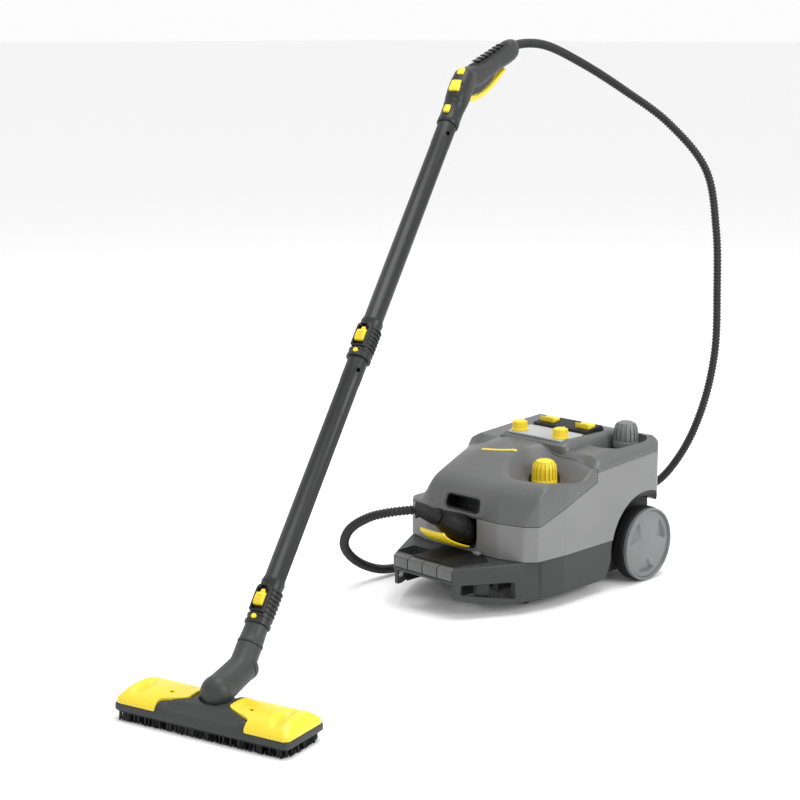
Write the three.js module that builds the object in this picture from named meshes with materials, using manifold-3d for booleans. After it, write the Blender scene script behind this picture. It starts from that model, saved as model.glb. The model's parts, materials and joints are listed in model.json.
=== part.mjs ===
// Commercial canister steam cleaner with its steam hose, pistol-grip gun, two extension tubes and
// a floor nozzle. Millimetres, +Z up. The machine's front faces -Y and the floor is Z = 0.
import * as THREE from 'three';
import { mergeVertices } from 'three/addons/utils/BufferGeometryUtils.js';
import Module from 'manifold-3d';

const wasm = await Module();
wasm.setup();

// ---------------------------------------------------------------- driving dimensions
const GAP = 0.3; // clearance between touching pieces
const MACHINE_AT = [-66.9, 493.35]; // rear axle's middle, seen from the middle of the whole object's box

const WHEEL_RADIUS = 66;
const WHEEL_FACE = 160; // outer face of each rear wheel, so the machine is 320 wide
const TYRE_WIDTH = 24;
const WELL_RADIUS = 84;
const WELL_INNER = 121;
const AXLE_RADIUS = 6;

const WALL = 3;
const HALF_WIDTH = 149; // side wall of the upper housing
const SEAM_Z = 90; // top edge of the base pan
const FLOOR_CLEARANCE = 20;
const NOSE_Y = -409; // front of the bumper nose, so the machine is 475 long
const REAR_Y = 46;
const SHOULDER_Z = 228;
const HOOD_SEAM_Y = -138;
const CONSOLE_TOP = 257;

const CASTER = { x: 84, y: -262, pocket: 34, top: 62, wheel: 17, trail: 13 };
const SAFETY_CAP = { x: 70, y: -182, foot: 190, height: 46, radius: 22, pocket: 38 };
const TANK_CAP = { x: 100, y: 3, foot: 232, height: 43, radius: 21 };
const DIALS = { x: 46, y: -112, radius: 13, height: 17 };
const ROCKERS = { x: 40, y: -36, width: 30, depth: 20, base: 266 };
const GLAND = { x: -70, z: 165, hole: 8.5, bush: 8, bore: 4.5, flange: 12 };
const SOCKET = { y: -290, z: 112, pitch: 28 };
const FLAP = { y: -310, z: 95.3, width: 60, length: 72, pitch: 25 };

const HOSE_DIAMETER = 16.5;
const LANCE = { foot: [140, -933, 55], tilt: 43, heading: 107.9 };
const TUBE_RADIUS = 15.5;
const COLLAR_RADIUS = 19;
const COLLAR_LENGTH = 70;
const LOW_COLLAR = 122; // collar middles, measured along the lance from the swivel
const MID_COLLAR = 578;
const GUN_COLLAR = 1034;
const GUN_HEAD = 1126;
const GRIP_BEND = 35;
const GRIP_LENGTH = 196;
const NOZZLE = { at: [150, -975], turn: 13.6, width: 296, depth: 92, brush: 14, rim: 25 };
const ELBOW_KNUCKLE = 40;
const NECK_START = 57;
const BARREL = { z: 55, radius: 22, length: 62 };
const BUTTONS = { // half width, stretch along the lance, and how far top and foot stand off its axis
  steam_button: { half: 9, from: 1069, to: 1091, top: 24, foot: 12.5, travel: 3.5 },
  lock_button: { half: 6, from: 1105, to: 1119, top: 22.5, foot: 13.5, travel: 2.5 },
  gun_release: { half: 5, from: 1024, to: 1038, top: 23, foot: 17.6, travel: 2 },
};

// ---------------------------------------------------------------- solids
function toSolid(geometry) {
  const bare = geometry.clone();
  bare.deleteAttribute('normal');
  bare.deleteAttribute('uv');
  const merged = mergeVertices(bare.index ? bare.toNonIndexed() : bare, 1e-4);
  return new wasm.Manifold(new wasm.Mesh({
    numProp: 3,
    vertProperties: new Float32Array(merged.attributes.position.array),
    triVerts: new Uint32Array(merged.index.array),
  }));
}

function toGeometry(body) {
  const { vertProperties, triVerts } = body.getMesh();
  const geometry = new THREE.BufferGeometry();
  geometry.setAttribute('position', new THREE.BufferAttribute(vertProperties, 3));
  geometry.setIndex(new THREE.BufferAttribute(triVerts, 1));
  return geometry;
}

const join = (first, ...rest) => rest.reduce((sum, next) => sum.add(next), first);
const cut = (first, ...rest) => rest.reduce((sum, next) => sum.subtract(next), first);

function shapeOf(points) {
  return new THREE.Shape(points.map(([a, b]) => new THREE.Vector2(a, b)));
}

// A plan outline (x, y) raised from z0 to z1.
function raise(points, z0, z1) {
  const geometry = new THREE.ExtrudeGeometry(shapeOf(points), { depth: z1 - z0, bevelEnabled: false });
  return toSolid(geometry.translate(0, 0, z0));
}

// A side outline (y, z) run across from x0 to x1.
function across(points, x0, x1) {
  const geometry = new THREE.ExtrudeGeometry(shapeOf(points), { depth: x1 - x0, bevelEnabled: false });
  const turn = new THREE.Matrix4().set(0, 0, 1, x0, 1, 0, 0, 0, 0, 1, 0, 0, 0, 0, 0, 1);
  return toSolid(geometry.applyMatrix4(turn));
}

function block(x0, x1, y0, y1, z0, z1) {
  const geometry = new THREE.BoxGeometry(x1 - x0, y1 - y0, z1 - z0);
  return toSolid(geometry.translate((x0 + x1) / 2, (y0 + y1) / 2, (z0 + z1) / 2));
}

// A turned piece: profile points are (radius, height) along the named axis.
function turned(profile, axis = 'z', at = [0, 0, 0], segments = 24) {
  const points = profile.map(([r, h]) => new THREE.Vector2(r, h));
  const geometry = new THREE.LatheGeometry(points, segments);
  if (axis === 'z') geometry.rotateX(Math.PI / 2);
  if (axis === 'x') geometry.rotateZ(-Math.PI / 2);
  return toSolid(geometry.translate(...at));
}

function rod(radius, h0, h1, axis = 'z', at = [0, 0, 0], segments = 24) {
  return turned([[0, h0], [radius, h0], [radius, h1], [0, h1]], axis, at, segments);
}

function pipe(inner, outer, h0, h1, axis = 'z', at = [0, 0, 0], segments = 24) {
  const profile = [[inner, h0], [outer, h0], [outer, h1], [inner, h1], [inner, h0]];
  return turned(profile, axis, at, segments);
}

function rounded(width, depth, radius, corner = 3, cx = 0, cy = 0) {
  const points = [];
  for (let quadrant = 0; quadrant < 4; quadrant += 1) {
    const start = (quadrant * Math.PI) / 2;
    const sx = quadrant === 0 || quadrant === 3 ? 1 : -1;
    const sy = quadrant < 2 ? 1 : -1;
    for (let step = 0; step <= corner; step += 1) {
      const angle = start + (step / corner) * (Math.PI / 2);
      const x = sx * (width / 2 - radius) + radius * Math.cos(angle);
      const y = sy * (depth / 2 - radius) + radius * Math.sin(angle);
      points.push([cx + x, cy + y]);
    }
  }
  return points;
}

// A round tube of so many sides, run along a smooth curve through the points.
function tubeAlong(points, radius, sides, steps) {
  const through = points.map((p) => new THREE.Vector3(...p));
  const curve = new THREE.CatmullRomCurve3(through, false, 'centripetal');
  const section = new THREE.Shape();
  for (let side = 0; side < sides; side += 1) {
    const angle = (side / sides) * 2 * Math.PI;
    const x = radius * Math.cos(angle);
    const y = radius * Math.sin(angle);
    if (side === 0) section.moveTo(x, y);
    else section.lineTo(x, y);
  }
  return new THREE.ExtrudeGeometry(section, { steps, extrudePath: curve, bevelEnabled: false });
}

const turnAbout = (axis, degrees, [x, y, z]) => new THREE.Matrix4()
  .makeTranslation(x, y, z)
  .multiply(new THREE.Matrix4().makeRotationAxis(axis, THREE.MathUtils.degToRad(degrees)));

const X_AXIS = new THREE.Vector3(1, 0, 0);
const Y_AXIS = new THREE.Vector3(0, 1, 0);

// ---------------------------------------------------------------- finishes
function finish(color, roughness, metalness = 0) {
  return new THREE.MeshStandardMaterial({ color, roughness, metalness });
}
const shellGrey = finish(0x8b8c8c, 0.45);
const hoodGrey = finish(0x68696a, 0.45);
const panelGrey = finish(0x9a9b9c, 0.45);
const charcoal = finish(0x3c3f3f, 0.55);
const black = finish(0x1c1d1e, 0.6);
const yellow = finish(0xf2d91a, 0.4);
const discGrey = finish(0xa3a4a5, 0.45);
const rubber = finish(0x17181a, 0.85);
const steel = finish(0xb9bbbd, 0.3, 1);
const brass = finish(0xb8933f, 0.35, 1);
const tankWhite = finish(0xdedfdc, 0.5);
const boardGreen = finish(0x2c6b46, 0.6);

const steamCleaner = new THREE.Group();
const machine = new THREE.Group();
machine.position.set(MACHINE_AT[0], MACHINE_AT[1], 0);
steamCleaner.add(machine);

function add(parent, name, body, material) {
  const geometry = body.isBufferGeometry ? body : toGeometry(body);
  const mesh = new THREE.Mesh(geometry, material);
  mesh.name = name;
  parent.add(mesh);
  return mesh;
}

const sides = [['left', 1], ['right', -1]];

// ---------------------------------------------------------------- base pan and running gear
function mirrored(half) {
  return [...half, ...half.map(([x, y]) => [-x, y]).reverse()];
}

function wells(radius, inner) {
  const pair = sides.map(([, side]) => rod(radius, Math.min(side * inner, side * 200),
    Math.max(side * inner, side * 200), 'x', [0, 0, WHEEL_RADIUS], 32));
  return pair[0].add(pair[1]);
}

function basePan() {
  const tub = mirrored([[100, -262], [136, -252], [144, -205], [144, REAR_Y - 4]]);
  const outerTub = raise(tub, FLOOR_CLEARANCE, SEAM_Z - GAP);
  const innerTub = raise(mirrored([[98, -258], [133, -249], [141, -203], [141, REAR_Y - 7]]),
    FLOOR_CLEARANCE + WALL, SEAM_Z + 1);
  const noseSide = [[NOSE_Y, 64], [-380, 50], [-300, 30], [-262, 30], [-262, SEAM_Z - GAP],
    [-300, SEAM_Z - GAP], [-395, 88], [NOSE_Y, 84]];
  const nosePlan = mirrored([[67, NOSE_Y], [130, -296], [138, -258], [138, -250]]);
  const nose = across(noseSide, -150, 150).intersect(raise(nosePlan, 0, 200));
  const pockets = sides.map(([, side]) => rod(CASTER.pocket, FLOOR_CLEARANCE - 1, CASTER.top, 'z',
    [side * CASTER.x, CASTER.y, 0], 28));
  const cups = sides.map(([, side]) => rod(CASTER.pocket + WALL, FLOOR_CLEARANCE + 1, CASTER.top + WALL, 'z',
    [side * CASTER.x, CASTER.y, 0], 28));
  const stems = sides.map(([, side]) => rod(5.5, CASTER.top - 1, CASTER.top + 10, 'z',
    [side * CASTER.x, CASTER.y, 0], 16));
  const noseHollow = block(-60, 60, -388, -266, 0, 80);
  const storageHole = block(-72, -38, -392, -358, 40, 120);
  const bossRing = block(-78, -32, -398, -352, 60, 86);
  const tubBody = outerTub.subtract(innerTub).subtract(wells(WELL_RADIUS, WELL_INNER));
  const wellWalls = wells(WELL_RADIUS + WALL, WELL_INNER - WALL).subtract(wells(WELL_RADIUS, WELL_INNER))
    .intersect(outerTub);
  const whole = join(tubBody, wellWalls, nose, ...cups);
  const axleHole = rod(AXLE_RADIUS + GAP, -150, 150, 'x', [0, 0, WHEEL_RADIUS], 16);
  return cut(whole, axleHole, ...pockets, ...stems, noseHollow.subtract(bossRing), storageHole);
}

function addRunningGear() {
  add(machine, 'axle', rod(AXLE_RADIUS, -151, 151, 'x', [0, 0, WHEEL_RADIUS], 16), steel);
  for (const [name, side] of sides) {
    const wheel = new THREE.Group();
    wheel.position.set(0, 0, WHEEL_RADIUS);
    if (side < 0) wheel.rotation.z = Math.PI;
    machine.add(wheel);
    const inner = WHEEL_FACE - TYRE_WIDTH - 8;
    const disc = [[AXLE_RADIUS + 0.4, inner - 3], [14, inner - 3], [14, inner + 4], [58, inner + 8],
      [58, WHEEL_FACE - 9], [63.5, WHEEL_FACE - 8], [64, WHEEL_FACE - 2], [60, WHEEL_FACE],
      [0, WHEEL_FACE], [0, 152], [AXLE_RADIUS + 0.4, 152], [AXLE_RADIUS + 0.4, inner - 3]];
    add(wheel, `wheel_disc_${name}`, turned(disc, 'x', [0, 0, 0], 40), discGrey);
    const tyre = [[58 + GAP, inner + 1], [64, inner + 1], [WHEEL_RADIUS, inner + 4],
      [WHEEL_RADIUS, WHEEL_FACE - 12], [64, WHEEL_FACE - 9.5], [58 + GAP, WHEEL_FACE - 9.5],
      [58 + GAP, inner + 1]];
    add(wheel, `tyre_${name}`, turned(tyre, 'x', [0, 0, 0], 40), rubber);
  }
  for (const [name, side] of sides) {
    const caster = new THREE.Group();
    caster.position.set(side * CASTER.x, CASTER.y, 0);
    machine.add(caster);
    const crown = rod(14, 42, CASTER.top - GAP, 'z', [0, 0, 0], 20);
    const stem = rod(5, CASTER.top - 1, CASTER.top + 9, 'z', [0, 0, 0], 16);
    const cheeks = [-1, 1].map((hand) => across([[-6, 48], [8, 48], [CASTER.trail + 7, 22],
      [CASTER.trail + 7, 12], [CASTER.trail - 7, 12], [CASTER.trail - 7, 22]],
    hand < 0 ? -11 : 8, hand < 0 ? -8 : 11));
    const pin = rod(2.5, -12, 12, 'x', [0, CASTER.trail, CASTER.wheel], 12);
    add(caster, `caster_fork_${name}`, join(crown, stem, ...cheeks, pin), charcoal);
    const bore = 2.5 + GAP;
    add(caster, `caster_wheel_${name}`, pipe(bore, CASTER.wheel, -7.5, 7.5, 'x',
      [0, CASTER.trail, CASTER.wheel], 24), rubber);
  }
}

// ---------------------------------------------------------------- upper housing
const HOUSING_PLAN = [[80, -314], [128, -300], [143, -284], [HALF_WIDTH, -215], [HALF_WIDTH, REAR_Y - 22],
  [HALF_WIDTH - 14, REAR_Y]];
const HOUSING_SIDE = [[-312, SEAM_Z], [-311, 155], [-288, 198], [-250, 226], [-210, 240], [-160, 247],
  [HOOD_SEAM_Y, 247], [HOOD_SEAM_Y + 2, 244], [-90, 236], [-30, SHOULDER_Z], [80, SHOULDER_Z + 8],
  [80, SEAM_Z]];
const HOOD_REGION = [[-340, 150], [-277, 150], [-194, 181], [HOOD_SEAM_Y, 201], [HOOD_SEAM_Y, 320],
  [-340, 320]];

function housingShell() {
  const outer = across(HOUSING_SIDE, -200, 200).intersect(raise(mirrored(HOUSING_PLAN), 0, 400))
    .subtract(wells(WELL_RADIUS, WELL_INNER));
  const lowered = (z) => (z === SEAM_Z ? z - 9 : z - WALL - 0.5);
  const low = HOUSING_SIDE.map(([y, z]) => [y < -250 ? y + WALL + 1 : y, lowered(z)]);
  const plan = mirrored(HOUSING_PLAN.map(([x, y]) => [x - WALL, y < 0 ? y + WALL : y - WALL]));
  const inner = across(low, -200, 200).intersect(raise(plan, 0, 400))
    .subtract(wells(WELL_RADIUS + WALL, WELL_INNER - WALL));
  return { outer, shell: outer.subtract(inner) };
}

// The hood's region a gap larger at its rear and lower edges.
function withSeam(region) {
  return region.map(([y, z]) => [y === HOOD_SEAM_Y ? y + GAP : y, z < 300 ? z - GAP : z]);
}

function addHousing() {
  const { outer, shell } = housingShell();
  const region = across(HOOD_REGION, -200, 200);
  const regionGap = across(withSeam(HOOD_REGION), -200, 200);

  const bay = block(-34, 34, -330, -280, SEAM_Z - 5, 151);
  const tankHole = rod(14.5, 200, 300, 'z', [TANK_CAP.x, TANK_CAP.y, 0], 24);
  const consoleHole = block(-70, 70, -128, -8, 200, 300);
  const glandAt = [GLAND.x, REAR_Y, GLAND.z];
  const glandHole = rod(GLAND.hole, -10, 10, 'y', glandAt, 24);
  const lower = cut(shell.subtract(regionGap), bay, tankHole, consoleHole, glandHole);
  add(machine, 'side_shell', lower, shellGrey);
  const bush = [[GLAND.bore, -7], [GLAND.bush, -7], [GLAND.bush, GAP], [GLAND.flange, GAP],
    [GLAND.flange, 3], [GLAND.bush, 9], [GLAND.bore, 9], [GLAND.bore, -7]];
  add(machine, 'cable_gland', turned(bush, 'y', glandAt, 24), black);

  const cap = [SAFETY_CAP.x, SAFETY_CAP.y, 0];
  const cup = rod(SAFETY_CAP.pocket + WALL, SAFETY_CAP.foot - 6, 300, 'z', cap, 28);
  const pocket = rod(SAFETY_CAP.pocket, SAFETY_CAP.foot - 3, 300, 'z', cap, 28);
  const neckHole = rod(14.5, 150, 300, 'z', cap, 24);
  const handleCup = block(-43, 43, -316, -270, 156, 190);
  const handleSlot = block(-40, 40, -330, -273, 159, 187);
  const hoodShell = shell.intersect(region);
  const cups = join(cup, handleCup).intersect(outer).intersect(region);
  add(machine, 'front_hood', cut(join(hoodShell, cups), pocket, neckHole, handleSlot), hoodGrey);
  const linerSlot = block(-36, 36, -340, -278, 162.5, 183.5);
  const liner = block(-40 + GAP, 40 - GAP, -320, -273 - GAP, 159 + GAP, 187 - GAP).intersect(outer)
    .subtract(linerSlot);
  add(machine, 'handle_liner', liner, black);
}

function addConsole() {
  const side = [[-136, 246], [-118, CONSOLE_TOP - 3], [-100, CONSOLE_TOP], [-64, CONSOLE_TOP],
    [6, CONSOLE_TOP], [14, 240], [14, 236.5], [-136, 245]];
  const plan = mirrored([[60, -140], [76, -120], [76, 6], [66, 14]]);
  const outer = across(side, -100, 100);
  const skirt = raise(mirrored([[68, -126], [68, -10]]), 226, 250);
  const hood = join(outer.intersect(raise(plan, 0, 400)), skirt);
  const hollow = block(-62, 62, -122, -14, 200, 251);
  const spindles = sides.map(([, hand]) => rod(4.3, 240, 300, 'z', [hand * DIALS.x, DIALS.y, 0], 16));
  const well = block(-62, 62, -62, -8, CONSOLE_TOP - 3, 300);
  add(machine, 'console', cut(hood, hollow, ...spindles, well), panelGrey);

  const wedge = across([[-61.5, CONSOLE_TOP - 3 + GAP], [-58, 263], [-14, 268], [-9, 262],
    [-8.5, CONSOLE_TOP - 3 + GAP]], -61, 61);
  const reach = [ROCKERS.width / 2 + 1, ROCKERS.depth / 2 + 2];
  const seats = sides.map(([, hand]) => block(hand * ROCKERS.x - reach[0], hand * ROCKERS.x + reach[0],
    ROCKERS.y - reach[1], ROCKERS.y + reach[1], 258, 300));
  add(machine, 'switch_bezel', cut(wedge, ...seats), black);
  const rockerNames = ['heater_switch', 'main_switch'];
  sides.forEach(([, hand], index) => {
    const far = ROCKERS.depth / 2;
    const rocker = across([[-far + 0.5, -4], [far - 0.5, -4], [far, 3.4], [0, 1.6], [-far, 5.4]],
      -ROCKERS.width / 2, ROCKERS.width / 2);
    const mesh = add(machine, rockerNames[index], rocker, yellow);
    mesh.position.set(hand * ROCKERS.x, ROCKERS.y, ROCKERS.base);
  });
  const dialNames = ['steam_dial', 'dosing_dial'];
  sides.forEach(([, hand], index) => {
    const head = turned([[0, 0], [DIALS.radius + 1, 0], [DIALS.radius, DIALS.height - 3],
      [DIALS.radius - 2, DIALS.height], [0, DIALS.height]], 'z', [0, 0, 0], 24);
    const spindle = rod(4, -12, 1, 'z', [0, 0, 0], 16);
    const mesh = add(machine, dialNames[index], head.add(spindle), yellow);
    mesh.position.set(hand * DIALS.x, DIALS.y, CONSOLE_TOP + 0.5);
  });
  add(machine, 'control_board', block(-58, 58, -118, -66, 228, 230), boardGreen);
}

// ---------------------------------------------------------------- caps
function capShape({ radius, height }, neck) {
  const skirt = [[neck, 0], [radius, 0], [radius, height - 14], [radius - 3, height - 4],
    [radius - 8, height], [0, height], [0, height - 8], [neck, height - 12], [neck, 0]];
  return turned(skirt, 'z', [0, 0, 0], 28);
}

function addCaps() {
  const safety = add(machine, 'safety_cap', capShape(SAFETY_CAP, 13.4), yellow);
  safety.position.set(SAFETY_CAP.x, SAFETY_CAP.y, SAFETY_CAP.foot);
  const tank = add(machine, 'tank_cap', capShape(TANK_CAP, 13.4), panelGrey);
  tank.position.set(TANK_CAP.x, TANK_CAP.y, TANK_CAP.foot);
}

// ---------------------------------------------------------------- steam works inside
function addWorks() {
  const cap = [SAFETY_CAP.x, SAFETY_CAP.y, 0];
  const vessel = turned([[0, 70], [44, 74], [56, 86], [56, 140], [46, 154], [12.2, 160], [0, 160]], 'z',
    cap, 28);
  add(machine, 'boiler', vessel, steel);
  add(machine, 'boiler_neck', rod(13, 160 + GAP, SAFETY_CAP.foot + 30, 'z', cap, 20), brass);
  add(machine, 'heating_element', pipe(30, 40, 64, 71, 'z', cap, 28), steel);
  const tank = join(block(-112, 112, -78, 36, 100, 214),
    rod(13, 213, TANK_CAP.foot + 30, 'z', [TANK_CAP.x, TANK_CAP.y, 0], 20));
  add(machine, 'water_tank', tank, tankWhite);
  const motor = rod(17, -118, -60, 'x', [0, -150, 62], 20);
  add(machine, 'feed_pump', join(motor, block(-112, -66, -166, -134, 30, 62)), black);
  const coil = rod(11, 125, 148, 'z', [-30, -232, 0], 16);
  add(machine, 'steam_valve', join(block(-44, -16, -250, -214, 96, 126), coil), brass);
  add(machine, 'steam_pipe', tubeAlong([[8, -200, 128], [0, -216, 126], [-8, -230, 114], [-14, -232, 111]],
    3.5, 8, 10), steel);
  const feedRoute = [[-90, -79.2, 120], [-92, -100, 118], [-94, -128, 100], [-95, -148, 81.5]];
  add(machine, 'feed_pipe', tubeAlong(feedRoute, 4, 8, 10), tankWhite);
}

// ---------------------------------------------------------------- socket, flap and plug
function addSocket() {
  const pitch = new THREE.Group();
  pitch.position.set(0, SOCKET.y, SOCKET.z);
  pitch.rotation.x = THREE.MathUtils.degToRad(-SOCKET.pitch);
  machine.add(pitch);
  add(pitch, 'steam_socket', block(-27, 27, GAP, 22, -10, 30), black);
  const plugSide = [[-96, -15], [-70, -18], [-8, -20], [0, -16], [0, 18], [-8, 22], [-70, 22], [-96, 16]];
  const plugPlan = [[-26, -60], [-16, -96], [16, -96], [26, -60], [26, 0], [-26, 0]];
  const body = across(plugSide, -26, 26).intersect(raise(plugPlan, -60, 60));
  add(pitch, 'steam_plug', body, black);
  const boot = [[-1.2, -377, 158.3], [-3.4, -391, 166.5], [-8.6, -404.7, 174.6], [-14.5, -411.3, 175.1]];
  add(machine, 'plug_boot', tubeAlong(boot, 12.5, 16, 8), black);

  const flap = new THREE.Group();
  flap.position.set(0, FLAP.y, FLAP.z);
  flap.rotation.x = THREE.MathUtils.degToRad(-FLAP.pitch);
  machine.add(flap);
  const half = FLAP.width / 2;
  const plate = across([[-FLAP.length, 0], [-FLAP.length + 6, -5], [-30, -5], [-8, -3.2], [4, -3.2], [4, 3.2],
    [-4, 3.2], [-14, -2.5], [-FLAP.length + 8, -1.5], [-FLAP.length, 3]], -half, half);
  const knuckles = plate.subtract(rod(1.8, -half - 1, half + 1, 'x', [0, 0, 0], 12));
  add(flap, 'socket_flap', knuckles, yellow);
  add(flap, 'flap_pin', rod(1.5, -half - 3, half + 3, 'x', [0, 0, 0], 12), steel);
}

// ---------------------------------------------------------------- hose
const HOSE_ROUTE = [[-157, -16, 919], [-166, 12, 925], [-178, 96, 923], [-182, 208, 890], [-163, 315, 838],
  [-117, 402, 772], [-64, 454, 683], [-36, 455, 569], [-17, 438, 451], [-8, 424, 333], [-27, 416, 222],
  [-78, 420, 118], [-148, 425, 42], [-215, 402, 12], [-253, 345, 9.2], [-256, 270, 9.2], [-238, 180, 9.2],
  [-212, 80, 9.2], [-192, -40, 9.2], [-183, -160, 9.2], [-184, -256, 9.4], [-186, -322, 17], [-181, -384, 46],
  [-160, -434, 89], [-119, -458, 132], [-72, -456, 161], [-38, -438, 172], [-15.3, -412.3, 175]];

function addHose() {
  add(machine, 'steam_hose', tubeAlong(HOSE_ROUTE, HOSE_DIAMETER / 2, 8, 70), black);
}

// ---------------------------------------------------------------- lance
function lanceFrame() {
  const tilt = THREE.MathUtils.degToRad(LANCE.tilt);
  const heading = THREE.MathUtils.degToRad(LANCE.heading);
  const along = new THREE.Vector3(Math.sin(tilt) * Math.cos(heading), Math.sin(tilt) * Math.sin(heading),
    Math.cos(tilt));
  const sideways = new THREE.Vector3(Math.sin(heading), -Math.cos(heading), 0);
  const under = new THREE.Vector3().crossVectors(along, sideways);
  const frame = new THREE.Group();
  frame.setRotationFromMatrix(new THREE.Matrix4().makeBasis(sideways, under, along));
  frame.position.set(...LANCE.foot);
  machine.add(frame);
  return frame;
}

function addTubes(lance) {
  const half = COLLAR_LENGTH / 2;
  const spans = [['lower_tube', LOW_COLLAR, MID_COLLAR], ['upper_tube', MID_COLLAR, GUN_COLLAR]];
  for (const [name, from, to] of spans) {
    const end = name === 'upper_tube' ? 24 : half;
    const tube = pipe(TUBE_RADIUS - 2.5, TUBE_RADIUS, from + half + GAP, to - end - GAP, 'z', [0, 0, 0], 20);
    add(lance, name, tube, charcoal);
  }
  for (const [name, at] of [['low', LOW_COLLAR], ['mid', MID_COLLAR]]) {
    const sleeve = pipe(TUBE_RADIUS - 2.5, COLLAR_RADIUS, at - half, at + half, 'z', [0, 0, 0], 20);
    const slide = block(-8.3, 8.3, -30, -COLLAR_RADIUS + 3, at - 16.3, at + 16.3);
    const hole = block(-4.4, 4.4, -30, -10, at - 31, at - 23);
    add(lance, `${name}_collar`, cut(sleeve, slide, hole), charcoal);
    const latch = [[2.7, -10], [-3, -9], [-5, -2], [-3, 8], [2.7, 10]];
    const latchSide = latch.map(([out, along]) => [out - COLLAR_RADIUS, at + along]);
    add(lance, `${name}_latch`, across(latchSide, -8, 8), yellow);
    add(lance, `${name}_pin`, block(-4, 4, -COLLAR_RADIUS - 1.5, -13, at - 30.6, at - 23.4), yellow);
  }
}

const buttonBody = ({ half, from, to, top, foot }) => block(-half, half, -top, -foot, from, to);

const buttonSeat = ({ half, from, to, top, foot, travel }) => block(-half - GAP, half + GAP, -top - 20,
  travel + GAP - foot, from - GAP, to + GAP);

function addGun(lance) {
  const start = GUN_COLLAR - 24;
  const collar = pipe(TUBE_RADIUS - 2.5, 18, start, start + 46, 'z', [0, 0, 0], 20);
  add(lance, 'gun_collar', cut(collar, buttonSeat(BUTTONS.gun_release)), charcoal);
  const barrelEnd = GUN_HEAD + 4;
  const barrel = rod(17, start + 46 + GAP, barrelEnd, 'z', [0, 0, 0], 20);
  const bend = toSolid(new THREE.SphereGeometry(19, 20, 12).translate(0, 0, GUN_HEAD));
  const tilt = turnAbout(X_AXIS, -GRIP_BEND, [0, 0, GUN_HEAD]);
  const grip = raise(rounded(29, 36, 13, 4), -6, GRIP_LENGTH).transform(tilt.elements.slice());
  const buttonSeats = [buttonSeat(BUTTONS.steam_button), buttonSeat(BUTTONS.lock_button)];
  const triggerSlot = block(-7.3, 7.3, 12, 40, -10, 128).transform(tilt.elements.slice());
  add(lance, 'gun_shell', cut(join(barrel, bend, grip), ...buttonSeats, triggerSlot), charcoal);

  const gripFrame = new THREE.Group();
  gripFrame.position.set(0, 0, GUN_HEAD);
  gripFrame.rotation.x = THREE.MathUtils.degToRad(-GRIP_BEND);
  lance.add(gripFrame);
  add(gripFrame, 'grip_pad', block(-10, 10, -22, -18.3, 40, 168), black);
  const lever = across([[16, 8], [30, 2], [38, 30], [40, 92], [34, 122], [28, 124], [29, 100], [22, 30],
    [14, 14]], -7, 7);
  add(gripFrame, 'gun_trigger', lever.subtract(rod(2.3, -8, 8, 'x', [0, 20, 11], 12)), yellow);
  add(gripFrame, 'trigger_pin', rod(2, -7.2, 7.2, 'x', [0, 20, 11], 12), steel);

  for (const [name, button] of Object.entries(BUTTONS)) {
    add(lance, name, buttonBody(button), yellow);
  }
}

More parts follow.
